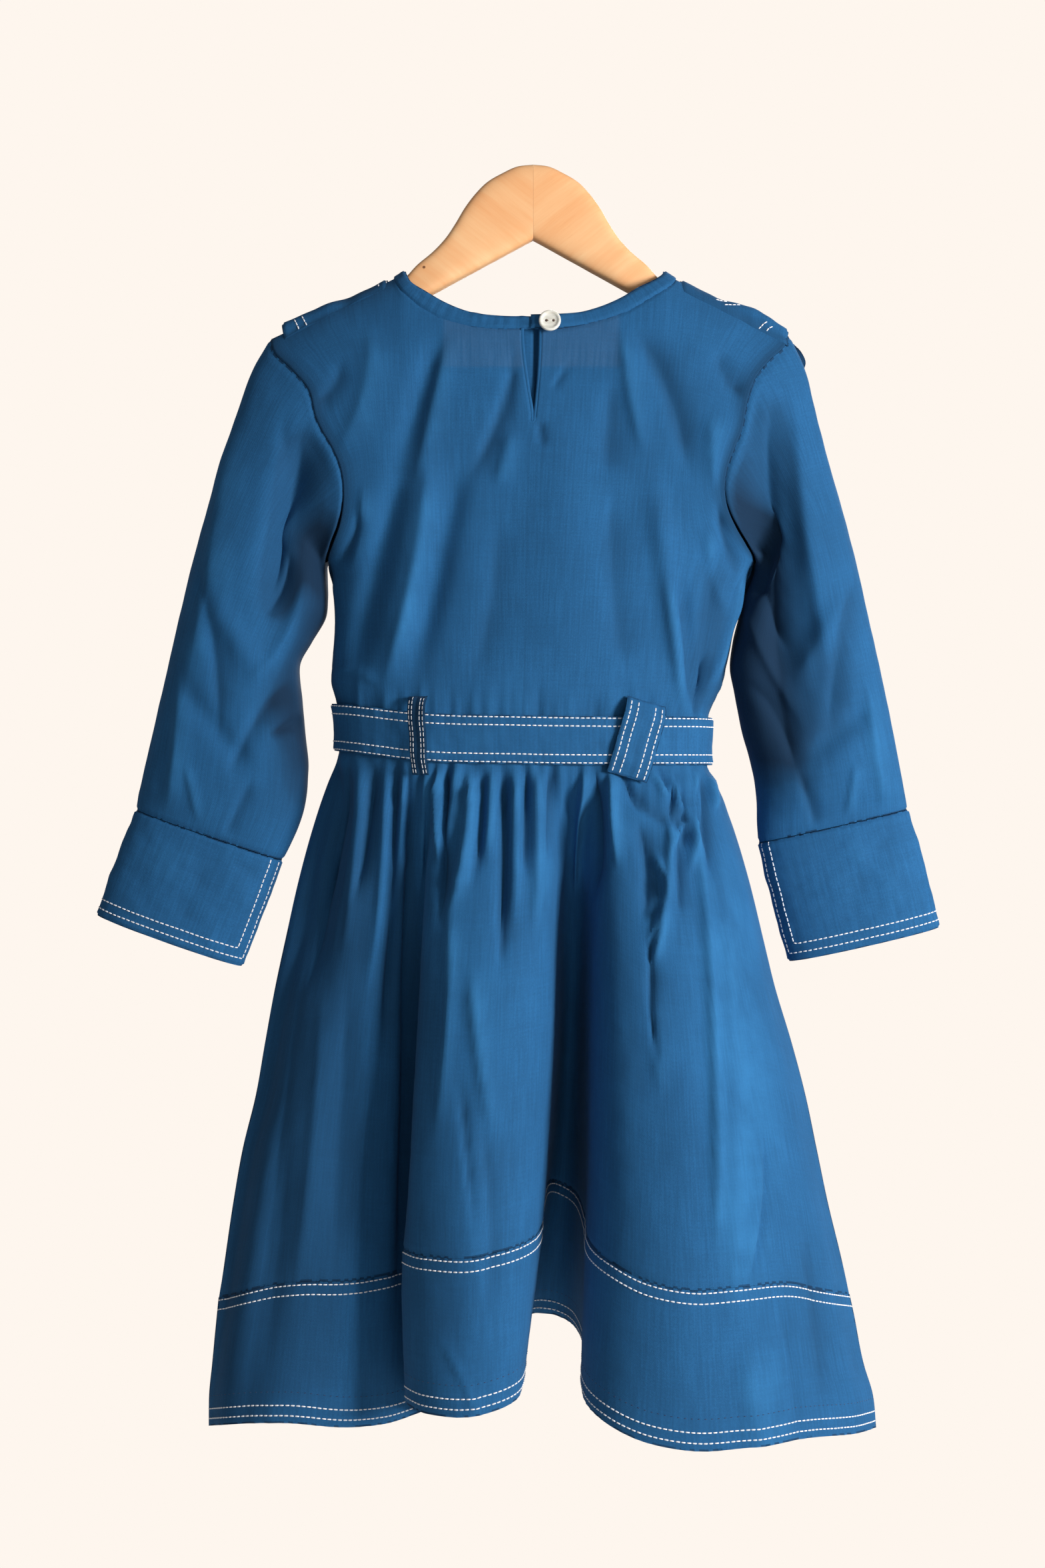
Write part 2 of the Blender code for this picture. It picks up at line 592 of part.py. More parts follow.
def tube(table, share, stand):
    """Rings of points, at shares of the way from the table's outer edge (1) to its inner edge (-1)."""
    rings = []
    for ox, oz, ix, iz, deep in table:
        centre = np.array([ox + ix, oz + iz]) / 2
        reach = np.array([ox - ix, oz - iz]) / 2
        flat = centre + reach * share[:, None]
        rings.append(np.stack([flat[:, 0], stand * deep, flat[:, 1]], axis=1))
    return np.array(rings)


def make_sleeve(name, side, table, cuff, hole, hole_out, bends):
    """A tube from the armhole to the cuff, and the cuff, with as many columns as the armhole has points. At
    the armhole its wall leans as the bodice's does."""
    first = np.array(table[0])
    middle, reach = (first[:2] + first[2:4]) / 2, (first[:2] - first[2:4]) / 2
    share = (hole[:, [0, 2]] - middle) @ reach / (reach @ reach)
    share[0], share[len(hole) // 2] = 1, -1
    stand = np.sign(hole[:, 1]) * oval(share, SLEEVE_ROUNDNESS)
    low = 1 - ramp(share, -1, -0.4)
    hole = hole + np.array([side * ARMPIT_GAP, 0, 0]) * low[:, None]
    rings = tube(table, share, stand)
    ring = np.arange(len(table))[:, None]
    fade = 1 - ramp(ring / (ARMPIT_RINGS + (ARMHOLE_RINGS - ARMPIT_RINGS) * ramp(share, -0.9, 0.4)), 0, 1)
    rings += (hole - rings[0]) * fade[..., None]
    face = np.sign(rings[..., 1]) * ramp(np.abs(rings[..., 1]), 3, 16)
    free = ramp(ring, 2, 5) * (1 - ramp(ring, len(table) - 3, len(table) - 1))
    rings[..., 1] += face * folds(rings[..., 0], rings[..., 2], bends) * free
    order = -1 if side > 0 else 1
    rings = rings[::-1, ::order]
    cuff_rings = tube(cuff[::-1], share, stand)[:, ::order]
    out = normals_of(rings, ring=True)
    out[-1] = unit(hole_out * (1 - low)[:, None] + out[-1, ::order] * low[:, None])[::order]
    cloth(f"sleeve_{name}", trimmed(rings, SEAM, GAP), ring=True, out=out)
    cloth(f"cuff_{name}", trimmed(cuff_rings, 0, SEAM), thick=DOUBLE, ring=True)


def skirt_levels(table, steps):
    """The waist, knee and hem points of every column between a table's first and last line."""
    values = np.array([row[1:] for row in table], float)
    columns = np.linspace(0, len(table) - 1, steps * (len(table) - 1) + 1)
    return smooth_at(columns, np.arange(len(table)), values)


def skirt_grid(table, side, steps, gathers):
    """The skirt's points from the waist seam to the hem, with its gathers under the belt."""
    waist_x, knee_x, knee_y, hem_x, hem_y, hem_z, band = skirt_levels(table, steps).T
    waist_z = waist_height(waist_x)
    waist = np.stack([waist_x, body_back(waist_x, waist_z, side), waist_z], axis=1)
    knee = np.stack([knee_x, knee_y, np.full_like(knee_x, KNEE_HEIGHT)], axis=1)
    hem = np.stack([hem_x, hem_y, hem_z], axis=1)
    rows = [waist_z + (hem_z + band - waist_z) * share for share in SKIRT_ROWS]
    rows += [hem_z + band * (1 - share) for share in BAND_ROWS]
    height = np.array(rows)
    down = (waist_z - height) / (waist_z - hem_z)
    knee_down = (waist_z - KNEE_HEIGHT) / (waist_z - hem_z)
    levels = np.stack([waist, knee, hem])[..., :2]
    flared = np.stack(
        [smooth_at(down[:, i], [0, knee_down[i], 1], levels[:, i]) for i in range(len(waist_x))], axis=1
    )
    leaves = ramp(down, BELT_SHARE, FLARE_SHARE)[..., None]
    flat = waist[None, :, :2] + (flared - waist[None, :, :2]) * leaves
    grid = np.concatenate([flat, height[..., None]], axis=-1)
    grid[..., 0] += side_shift(grid)
    place = np.linspace(0, 1, len(waist_x))
    wave = np.cos(2 * math.pi * gathers * place) * ramp(place, 0, 0.05) * (1 - ramp(place, 0.95, 1))
    high = GATHER_HIGH * ramp(down, BELT_SHARE, 0.14) * (1 - ramp(down, 0.16, 0.5))
    return grid, high * wave[None]


def side_shift(grid):
    """How far the cloth moves across so that its first and last columns lie on the side seams."""
    table = np.array(sorted(SKIRT_SIDES))
    shift = np.zeros(grid.shape[:2])
    for column in (0, -1):
        edge = grid[:, column]
        side = 1 if edge[0, 0] < 0 else 2
        wanted = smooth_at(edge[:, 2], table[:, 0], table[:, side]) - edge[:, 0]
        shift += wanted[:, None] * (1 - ramp(np.abs(grid[..., 0] - edge[:, :1]), 0, SIDE_REACH))
    return shift


def make_skirt():
    back, back_wave = skirt_grid(SKIRT_BACK, -1, BACK_STEPS, GATHERS_BACK)
    front, front_wave = skirt_grid(SKIRT_FRONT, 1, FRONT_STEPS, GATHERS_FRONT)
    grid = np.concatenate([back[:, :-1], front[:, :-1]], axis=1)
    wave = np.concatenate([back_wave[:, :-1], front_wave[:, :-1]], axis=1)
    grid = grid + normals_of(grid[::-1], ring=True)[::-1] * wave[..., None]
    grid = grid[::-1]
    out = normals_of(grid, ring=True)
    side = back.shape[1] - 1
    bands = len(BAND_ROWS)
    for name, columns in (("back", np.arange(side + 1)), ("front", np.arange(side, grid.shape[1] + 1))):
        columns = columns % grid.shape[1]
        for piece, rows, foot in (("skirt", slice(bands, None), SEAM), ("hem", slice(0, bands + 1), 0)):
            points = trimmed(grid[rows][:, columns], foot, SEAM, SEAM, SEAM)
            cloth(f"{piece}_{name}", points, out=out[rows][:, columns])


def belt_line(turns, share, lift):
    """Points round the body at shares of a turn, at a share of the belt's width over its middle."""
    angle = 2 * math.pi * turns
    around = np.sign(np.cos(angle)) * np.abs(np.cos(angle)) ** (2 / ROUNDNESS)
    deep = np.sign(np.sin(angle)) * np.abs(np.sin(angle)) ** (2 / ROUNDNESS)
    height = waist_height(110 * around) + share * BELT_WIDE
    left, right, back, front = body_sides(height).T
    x = (left + right) / 2 + ((right - left) / 2 + lift) * around
    y = (np.where(deep < 0, back, front) + lift) * deep
    return np.stack([x, y, height], axis=1)


def make_belt():
    """A band round the waist seam, its outer end lying on its inner end in front."""
    turns = np.linspace(0.25 - BELT_OVERLAP, 1.25, BELT_COLUMNS)
    lift = WALL / 2 + BELT_GAP + DOUBLE / 2
    lift = lift + (DOUBLE + GAP) * (1 - ramp(turns, 0.25, 0.32))
    cloth("belt", np.array([belt_line(turns, share, lift) for share in (-0.5, 0, 0.5)]), thick=DOUBLE)


def flap_grid(side):
    """A flap's points: from the seam behind the shoulder, over the shoulder line and down the front."""
    tip, neck = (EDGES[-1][1], BACK_SEAM[0][0]) if side < 0 else (EDGES[-1][3], BACK_SEAM[-1][0])
    shares, stands = np.array(FLAP_COLUMNS[side]).T
    across = tip + (neck - tip) * shares
    rows = []
    for down in FLAP_ROWS:
        height = ridge(across) - abs(down)
        y = body_back(across, height, -1 if down < 0 else 1)
        puff = stands * ramp(down, -7, 0) * (1 - ramp(down, 8, 26) * 0.6)
        past = FLAP_CORNER[side] * (1 - ramp(shares, 0, 0.4))
        past = past * ramp(down, 0, 14) * (1 - 0.5 * ramp(down, 14, 26))
        y = y + ramp(down, 1, 12) * puff
        rows.append(np.stack([across + side * past, y, height + puff * (down < 9)], axis=1))
    grid = np.array(rows)
    return grid[:, ::-1] if side > 0 else grid


def make_flap(name, side):
    lift = (WALL + DOUBLE) / 2 + FLAP_GAP
    cloth(f"flap_{name}", flap_grid(side), thick=DOUBLE, lift=lift)


def make_hanger():
    """Two halves mitred at the middle, each a round-edged bar along the hanger's arm."""
    table = np.array(HANGER, float)
    angle = 2 * math.pi * (np.arange(HANGER_SIDES) + 0.5) / HANGER_SIDES
    up, out = (np.sign(f(angle)) * np.abs(f(angle)) ** 0.5 for f in (np.cos, np.sin))
    for name, side, stretch in (("left", -1, 1.0), ("right", 1, 0.975)):
        rings = []
        for tx, tz, fx, fz, deep in table:
            middle, reach = np.array([tx + fx, tz + fz]) / 2, np.array([tx - fx, tz - fz]) / 2
            flat = middle + reach * up[:, None]
            x = side * (GAP / 2 - flat[:, 0] * stretch)
            rings.append(np.stack([x, deep * out, flat[:, 1]], axis=1))
        grid = np.array(rings)
        closed_bar(f"hanger_{name}", grid if side > 0 else grid[:, ::-1])


def closed_bar(name, rings):
    """A solid bar through rings of points, with flat ends."""
    count, sides = rings.shape[:2]
    faces = [list(range(sides)), [(count - 1) * sides + i for i in reversed(range(sides))]]
    for ring in range(count - 1):
        for i in range(sides):
            j = (i + 1) % sides
            low, high = ring * sides, (ring + 1) * sides
            faces.append([low + j, low + i, high + i, high + j])
    finish(mesh_object(name, rings.reshape(-1, 3), faces), WOOD, roughness=0.35)


def make_loop(name, corners, turn):
    """A short strip that stands over the belt from the bodice to the skirt."""
    top_left, top_right, foot_left, foot_right = (np.array(corner, float) for corner in corners)
    high = WALL / 2 + BELT_GAP + DOUBLE + LOOP_GAP + LOOP_THICK / 2
    seat = WALL / 2 + GAP + LOOP_THICK / 2
    share = np.linspace(0, 1, 4)[:, None]
    rows, stands = [], []
    for down, stand in LOOP_PROFILE:
        left, right = top_left + (foot_left - top_left) * down, top_right + (foot_right - top_right) * down
        line = left + (right - left) * share
        rows.append(np.stack([line[:, 0], body_back(line[:, 0], line[:, 1], -1), line[:, 1]], axis=1))
        stands.append(seat + (high - seat + turn * share) * stand)
    grid = np.array(rows)[::-1]
    cloth(name, grid + normals_of(grid) * np.array(stands)[::-1], thick=LOOP_THICK)


def disc(name, radius, thick, centre, turned, sides=24):
    """A round solid about its own Z, turned about X, at a place in millimetres."""
    mesh = bpy.data.meshes.new(name)
    points = [
        (radius * math.cos(2 * math.pi * i / sides), radius * math.sin(2 * math.pi * i / sides), z)
        for z in (-thick / 2, thick / 2)
        for i in range(sides)
    ]
    faces = [list(reversed(range(sides))), [sides + i for i in range(sides)]]
    faces += [[i, (i + 1) % sides, sides + (i + 1) % sides, sides + i] for i in range(sides)]
    mesh.from_pydata([tuple(np.array(point) * MM) for point in points], [], faces)
    obj = bpy.data.objects.new(name, mesh)
    bpy.context.scene.collection.objects.link(obj)
    obj.location = np.array(centre) * MM
    obj.rotation_euler = (turned, 0, 0)
    return obj


def make_button():
    """A two-hole button lying on the overlapped ends of the neck band."""
    across, height = BUTTON_AT
    seat = body_back(np.array(across), np.array(height), -1)
    slope = seat - body_back(np.array(across), np.array(height - 6.0), -1)
    lean = math.pi / 2 - math.atan2(float(slope), 6.0)
    stand = BAND_THICK / 2 + DOUBLE + 2 * GAP + BUTTON_THICK / 2
    centre = np.array([across, float(seat) - stand * math.sin(lean), height + stand * math.cos(lean)])
    button = disc("button", BUTTON_RADIUS, BUTTON_THICK, centre, lean)
    for side in (-1, 1):
        hole_at = centre + np.array([side * BUTTON_HOLES_APART / 2, 0, 0])
        hole = disc(f"button_hole_{side}", BUTTON_HOLE, 3 * BUTTON_THICK, hole_at, lean, sides=8)
        hole.hide_render = True
        hole.display_type = "WIRE"
        cut = button.modifiers.new(f"hole {side}", "BOOLEAN")
        cut.operation = "DIFFERENCE"
        cut.object = hole
    round_edge = button.modifiers.new("rounded edge", "BEVEL")
    round_edge.width = 0.5 * MM
    round_edge.segments = 1
    round_edge.limit_method = "ANGLE"
    finish(button, IVORY, roughness=0.4)


def clear_scene():
    for obj in list(bpy.data.objects):
        bpy.data.objects.remove(obj, do_unlink=True)


def main():
    clear_scene()
    left_hole, right_hole = make_bodice()
    make_neck()
    make_facings()
    make_sleeve("left", -1, SLEEVE_LEFT, CUFF_LEFT, *left_hole, LEFT_BENDS)
    make_sleeve("right", 1, SLEEVE_RIGHT, CUFF_RIGHT, *right_hole, RIGHT_BENDS)
    make_skirt()
    make_belt()
    make_flap("left", -1)
    make_flap("right", 1)
    make_hanger()
    for name, corners in LOOPS.items():
        make_loop(name, corners, LOOP_TURN[name])
    make_button()


main()
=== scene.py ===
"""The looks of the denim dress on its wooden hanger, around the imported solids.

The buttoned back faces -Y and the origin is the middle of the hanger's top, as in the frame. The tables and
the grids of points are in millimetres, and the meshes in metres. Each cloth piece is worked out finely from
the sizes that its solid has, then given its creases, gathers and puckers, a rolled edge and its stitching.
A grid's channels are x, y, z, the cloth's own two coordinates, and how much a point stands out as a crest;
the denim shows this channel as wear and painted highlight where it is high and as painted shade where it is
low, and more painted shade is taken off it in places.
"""

import math

import bmesh
import bpy
import numpy as np
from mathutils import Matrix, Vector


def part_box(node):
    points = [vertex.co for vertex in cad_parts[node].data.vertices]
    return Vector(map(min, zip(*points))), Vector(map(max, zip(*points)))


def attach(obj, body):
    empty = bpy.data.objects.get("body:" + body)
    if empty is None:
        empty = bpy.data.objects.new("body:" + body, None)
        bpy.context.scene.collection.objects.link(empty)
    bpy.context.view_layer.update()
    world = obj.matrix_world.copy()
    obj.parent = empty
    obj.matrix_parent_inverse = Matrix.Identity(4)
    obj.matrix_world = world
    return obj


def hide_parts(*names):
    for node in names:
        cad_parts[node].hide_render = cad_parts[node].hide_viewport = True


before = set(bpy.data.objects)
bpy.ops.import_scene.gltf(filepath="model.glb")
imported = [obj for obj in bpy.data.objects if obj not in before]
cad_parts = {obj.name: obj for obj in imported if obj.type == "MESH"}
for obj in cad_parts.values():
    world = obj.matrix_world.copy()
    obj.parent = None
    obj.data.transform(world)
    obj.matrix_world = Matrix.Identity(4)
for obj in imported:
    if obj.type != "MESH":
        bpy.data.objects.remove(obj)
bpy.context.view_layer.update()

MM = 0.001
WALL = 1.1  # a single cloth
DOUBLE = 1.7  # two cloths sewn together, as in the belt, cuffs and flaps
CAD_WALL, CAD_DOUBLE = 1.5, 2.0
GAP = 0.3  # between pieces that meet
FINE = 2.0  # between the points of the large pieces
SMALL = 1.1  # between the points of the neck band
CUFF_FINE, BELT_FINE = SMALL * 1.3, SMALL * 1.4

# The tube of the body: its sides at each height, and how far its middle stands back and front.
# Above the arms the sides run on through the sleeves.
BODY = (  # height, left, right, back, front
    (-360, -112.5, 101.5, 42, 41),
    (-332, -111.7, 100, 42, 41),
    (-314, -112.3, 101.5, 41.5, 40.5),
    (-301, -116, 108.5, 41, 40),
    (-289, -115.5, 111.5, 40, 39),
    (-268, -114, 115.8, 38, 37),
    (-247, -115, 120.5, 37, 36),
    (-229, -118, 126.5, 36, 35),
    (-215, -134, 139, 35, 34),
    (-196, -152, 154, 34, 33),
    (-160, -168, 168, 31, 30),
    (-100, -178, 176, 27, 26),
    (-60, -182, 180, 25, 24),
)
ROUNDNESS = 2.3  # the power of the body's oval, 2 for an ellipse
SHOULDER_FALL = 60  # the height over which the cloth rounds over the hanger

# Both edges of a bodice panel from the waist to the shoulder, row by row.
EDGES = (  # row, left, left height, right, right height
    ("waist", -111.9, -323, 100, -332.5),
    ("belt top", -113, -308.5, 101.3, -317),
    ("low side", -116, -298, 108.8, -300),
    ("side", -115.3, -283, 111.5, -289),
    ("high side", -113.9, -263, 115.8, -268),
    ("below arm", -115.4, -244, 120.5, -247),
    ("underarm", -118, -229, 126.5, -229),
    ("arm foot", -114.5, -222, 121, -221.5),
    ("arm low", -110, -212, 115, -213),
    ("arm narrowest", -107.2, -196, 108.8, -199),
    ("arm middle", -109, -179, 108.6, -182),
    ("arm upper", -114, -167, 113.5, -168),
    ("arm high", -120, -157, 118.5, -155),
    ("slit foot", -122.8, -151, 120, -146),
    ("arm turn", -127.5, -134, 125.5, -128),
    ("arm slope", -138, -121, 134.5, -116),
    ("arm top", -149.2, -108.5, 144.3, -106),
    ("shoulder round", -150.6, -103.5, 146.6, -101.8),
    ("shoulder tip", -150.8, -100, 147.2, -98.6),
)
UNDERARM_ROW = 6
SLIT_ROW = 13

# The seam of the bodice and the neck band, and the neck's own edge, from the left shoulder to the right.
BACK_SEAM = (  # across, height
    (-80, -65.4), (-78.6, -69), (-75.5, -75), (-66, -84.5), (-54, -92.5), (-35, -98.3), (-20, -99.8),
    (-6.5, -100), (4, -100), (18, -99.5), (31, -96.6), (44, -92.8), (54, -88.6), (65, -81.5), (76, -74),
    (80.6, -69.5), (82, -66),
)
BACK_EDGE = (
    (-73.5, -61.2), (-72.5, -64.8), (-70, -70), (-61.5, -76.5), (-50, -84), (-33.5, -90.6), (-19, -92.4),
    (-6.5, -92.8), (4, -92.8), (17, -92), (29, -89.6), (41, -85.4), (50, -80.8), (60, -74), (69.5, -68.5),
    (73.8, -64.8), (75, -61.2),
)
FRONT_SEAM = (
    (-80, -65.4), (-79.2, -69), (-77, -76), (-70, -88), (-58, -103), (-40, -115.5), (-20, -122),
    (-5, -123.6), (6, -123.6), (21, -122), (41, -115.5), (53, -106), (63, -96), (72, -86), (79, -76),
    (81.4, -69.5), (82, -66),
)
FRONT_EDGE = (
    (-73.5, -61.2), (-72.8, -64.8), (-70.5, -72), (-64, -84), (-53, -97.5), (-37, -109), (-19, -115),
    (-5, -116.5), (6, -116.5), (20, -115), (38, -109), (48.5, -100.5), (57.5, -91.5), (66, -81),
    (72.3, -71.5), (74.4, -64.8), (75, -61.2),
)
# Where each column of a bodice panel stands along the waist, from side to side.
SHOULDER_SHARES = (0, 0.04, 0.13, 0.3, 0.48, 0.66, 0.84, 1)
NECK_SHARES = (
    0.18, 0.192, 0.21, 0.245, 0.3, 0.375, 0.44, 0.496, 0.506,
    0.555, 0.605, 0.655, 0.7, 0.745, 0.785, 0.808, 0.82,
)
EDGE_REACH = 0.18  # how far inwards, as a share of the width, a panel's side edges draw the cloth along
NECK_LEFT = 7  # the neck column at the slit's left side
SLIT_WIDE, SLIT_CLOSED = 10.5, 0.12  # the slit's width at the neck, and its share of that at the foot
SLIT_FOOT, SLIT_TOP = -152, -100
SLIT_LEAN = 1.2  # how far left the slit opens at the neck
PLACKET = (-8.8, 5.6, -158, -97.5)  # left, right, foot, top
PLACKET_IN, PLACKET_GAP = 2.3, 2.6  # how far inside the back it lies, and how much deeper behind the gap

# Large folds of the bodice back, as ridges (high over 0) and troughs.
BACK_FOLDS = (  # from across, from height, to across, to height, half width, high
    (-53, -104, -76, -181, 7, -3),
    (-40, -176, -67, -300, 8, -4),
    (-60, -172, -84, -300, 8, 3),
    (-73, -176, -103, -300, 7, -3.5),
    (68, -188, 86, -312, 7, 3.5),
    (82, -240, 92, -318, 5, -3),
    (14, -140, 20, -308, 20, 2.5),
)

# The waist seam under the belt, and the belt's width.
WAIST = ((-130, -322), (-100, -325.5), (-60, -330.5), (0, -332.5), (130, -332.5))  # across, height
BELT_WIDE = 27

BELT_GAP = 1.0
BELT_OVERLAP = 0.06  # the share of a turn over which the belt's ends lie on each other
BELT_COLUMNS = 72

# The skirt's back, from the left seam to the right: each row is a line down the cloth.
SKIRT_BACK = (  # line, waist, knee across, knee back, hem across, hem back, hem height, band
    ("left seam", -111.5, -170, -8, -186.5, -10, -724, 73),
    ("left side", -104, -155, -33, -171, -36, -714.5, 74),
    ("left panel", -94, -128, -43, -138, -48, -709.5, 76),
    ("left panel fall", -80, -102, -40, -108, -44, -713, 80),
    ("groove shoulder", -68, -81, -28, -84, -27, -717, 84),
    ("groove", -59, -67, -13, -67, -14, -716, 84),
    ("tube foot", -54, -63, -25, -62, -26, -709, 84),
    ("tube left", -50, -73, -49, -70, -52, -697, 84),
    ("tube left turn", -43, -60, -70, -58, -74, -695, 84),
    ("tube crest", -24, -35, -79, -35, -82, -694, 84),
    ("tube right turn", -4, -9, -70, -12.5, -73, -690, 84),
    ("tube right", 7, 5, -46, -6, -46, -688.5, 85),
    ("valley left wall", 13, 8, -2, -8, 14, -686, 86),
    ("valley left", 18, 11, 33, -5, 58, -682, 87),
    ("valley", 24, 18.5, 45, 11, 76, -685.5, 87),
    ("valley right", 30, 26.5, 34, 25.5, 60, -688.5, 86),
    ("valley right wall", 35, 30, -4, 30.5, 14, -691.5, 85),
    ("panel left", 40, 31.5, -46, 26.5, -46, -693, 84),
    ("panel left turn", 47, 41, -69, 35, -74, -697, 84),
    ("panel crest left", 58, 60, -81, 58, -88, -705, 84),
    ("panel crest", 70, 83, -84, 87, -91, -709, 84),
    ("panel crest right", 80, 107, -77, 117, -84, -709, 84),
    ("panel fall", 89, 131, -60, 148, -66, -711, 83),
    ("right side", 96, 153, -36, 178, -40, -718, 79),
    ("right seam", 100, 168, -9, 196.5, -10, -725, 76),
)
# The skirt's front, from the right seam home to the left, with folds like the back's.
SKIRT_FRONT = (
    ("right seam", 100, 168, -9, 196.5, -10, -725, 76),
    ("right side", 94, 151, 22, 180, 26, -720, 78),
    ("right fold", 84, 129, 46, 155, 58, -714, 82),
    ("right fold fall", 72, 106, 49, 130, 62, -712, 84),
    ("right trough", 62, 86, 30, 104, 36, -712, 84),
    ("right trough rise", 54, 71, 40, 84, 50, -707, 84),
    ("middle fold right", 42, 55, 70, 62, 92, -697, 84),
    ("middle fold", 22, 23, 88, 26, 116, -693, 84),
    ("middle fold left", -2, -9, 84, -12, 112, -694, 84),
    ("middle fall", -18, -33, 61, -40, 82, -702, 84),
    ("left trough", -32, -52, 35, -62, 44, -711, 84),
    ("left trough rise", -46, -71, 44, -84, 54, -711, 84),
    ("left fold", -64, -96, 59, -112, 72, -709, 82),
    ("left fold fall", -84, -124, 49, -142, 58, -713, 79),
    ("left side", -101, -156, 21, -171, 24, -720, 75),
    ("left seam", -111.5, -170, -8, -186.5, -10, -724, 73),
)
# Where the skirt's side seams run, height by height.
SKIRT_SIDES = (  # height, left, right
    (-726, -185.2, 196),
    (-705, -185.2, 193.8),
    (-690, -183.7, 189.2),
    (-659, -180.7, 183),
    (-628, -176.5, 176.3),
    (-597, -172, 168.8),
    (-566, -166.6, 162.4),
    (-535, -159.1, 156),
    (-505, -153.9, 148.2),
    (-474, -148.3, 139),
    (-443, -141.7, 131.4),
    (-412, -134.8, 123.7),
    (-381, -126.4, 114.3),
    (-366, -121.6, 108.9),
    (-354, -117.2, 103.2),
    (-347.5, -114.4, 100),
    (-339, -111.5, 100),
    (-322, -111.5, 100),
)
SIDE_REACH = 45  # how far inwards a side seam's place draws the cloth along
KNEE_HEIGHT = -580
BELT_SHARE, FLARE_SHARE = 0.042, 0.12  # where the cloth leaves the belt, and where it hangs free

# Each sleeve's outer and inner edge below the armhole, ring by ring.
SLEEVE_LEFT = (  # outer across, outer height, inner across, inner height, half depth
    (-150.8, -100, -119.4, -229.5, 23),
    (-161, -118, -120.2, -234, 24),
    (-169.4, -141, -119.8, -241, 25),
    (-178.8, -170, -119.4, -250, 27),
    (-188.4, -203, -120.5, -261, 28),
    (-197.3, -236, -128.5, -275, 28),
    (-204.5, -266, -135.3, -288, 27),
    (-211.4, -296, -134, -308, 26),
    (-217.9, -324, -132, -330, 25),
    (-223.6, -348, -130.5, -350, 24),
    (-226, -358.5, -133.5, -374, 21),
    (-227.6, -365.5, -142, -394.5, 17),
    (-228.5, -371.8, -145.2, -400.5, 15),
)
SLEEVE_RIGHT = (
    (147.2, -98.6, 127.8, -229.5, 23),
    (155.8, -117, 128.4, -234, 24),
    (161.8, -141, 126.2, -241, 25),
    (168.7, -168, 122.2, -251, 27),
    (177.3, -198, 119.3, -263, 28),
    (185.7, -230, 116.4, -277, 28),
    (192.4, -260, 114.6, -290, 27),
    (199.2, -290, 117.5, -308, 26),
    (205.5, -320, 121.5, -328, 25),
    (210.5, -346, 126.5, -346, 24),
    (213.4, -361, 129.5, -364, 21),
    (214.5, -366, 130, -381, 17),
    (215.4, -371.5, 130.6, -390.5, 15),
)
CUFF_LEFT = (  # outer across, outer height, inner across, inner height, half depth
    (-228.5, -372.1, -145.4, -400.8, 15),
    (-240.6, -402.6, -157, -432, 14.5),
    (-251, -432.5, -168.7, -461.8, 14.5),
)
CUFF_RIGHT = (
    (215.5, -371.8, 130.6, -390.8, 15),
    (225.6, -406, 139, -425, 14.5),
    (233.6, -439.5, 148.2, -459, 14.5),
)
SLEEVE_ROUNDNESS = 2.2
ARMPIT_GAP = 2.0  # how far the sleeve starts off the body under the arm, where it folds down beside it
ARMHOLE_RINGS, ARMPIT_RINGS = 5, 1.2  # the rings over which the armhole's shape turns into the sleeve's
LEFT_BENDS = (  # from across, from height, to across, to height, half width, high
    (-140, -150, -150, -240, 7, -3),
    (-185, -250, -150, -300, 8, 3),
    (-200, -300, -160, -350, 7, -2.5),
)
RIGHT_BENDS = (
    (135, -150, 146, -240, 7, -3),
    (180, -250, 145, -300, 8, 3),
    (195, -310, 150, -345, 7, -2.5),
)

# The hanger's upper and lower edge outside and inside the dress, from its middle out.
HANGER = (  # left top across, left top height, left foot across, left foot height, half depth
    (0, 0, 0, -43, 6.5),
    (-9, -1, -6, -46.2, 6.5),
    (-18, -5, -13, -50, 6.5),
    (-26.5, -10, -20, -53.8, 6.5),
    (-33.5, -17, -27, -57.5, 6.5),
    (-39.5, -25, -34, -61.3, 6.5),
    (-44.5, -33.5, -41, -65, 6.5),
    (-50.5, -42.5, -49, -69.3, 6.5),
    (-58, -50.5, -57, -73.6, 6.3),
    (-66.5, -57.5, -66, -78, 5.8),
    (-76, -67.2, -76, -82.5, 5),
    (-90, -74.4, -90, -89, 4.8),
    (-110, -84.2, -110, -97.5, 4.6),
    (-130, -94, -130, -105.5, 4.2),
    (-141, -99.8, -141, -108.5, 3.6),
    (-145, -102.8, -145, -107, 2.4),
)

# The flaps sewn in at the shoulder seams: how far each row lies down the back (under 0) or the front.
FLAP_ROWS = (-7, -3.5, -1, 0, 1, 3.5, 8, 14, 20, 26)
FLAP_GAP = 0.5
# Each flap's columns, as shares of the way from the shoulder tip to the neck, and how far they stand off.
FLAP_COLUMNS = {
    -1: ((0.1, 2.2), (0.24, 1.9), (0.38, 1.2), (0.52, 0.8), (0.66, 0.5), (0.8, 0.2), (0.95, 0)),
    1: ((0.02, 0), (0.17, 1.2), (0.3, 2.6), (0.45, 1.4), (0.62, 0.4), (0.8, 0), (0.96, 0)),
}
FLAP_CORNER = {-1: 1, 1: 13}  # how far the front's free corner stands out past the shoulder

# The belt loops: the strip's four corners as seen from the back.
LOOPS = {  # left, top: across, height; right; foot
    "loop_left": ((-69, -308.5), (-58.5, -308), (-66.5, -352), (-57, -352)),
    "loop_right": ((51.8, -308), (73.2, -313.7), (40, -350), (62, -356.5)),
}
BAND_THICK = 1.5
BAND_FROM, BAND_ROWS = -0.12, 8  # where the band's rows start, as a share of its width, and their number
# The band's lower end, which runs on under the button: along its seam, and along its edge.
BAND_UNDER = ((3, -100, -1), (12, -99.8, -1)), ((3, -92.8, -1), (12, -92.3, -1))  # across, height, side
OVERLAP_FROM = -1.5  # where the band's upper end stops, left of the button
LOOP_THICK, LOOP_GAP = 1.6, 0.9
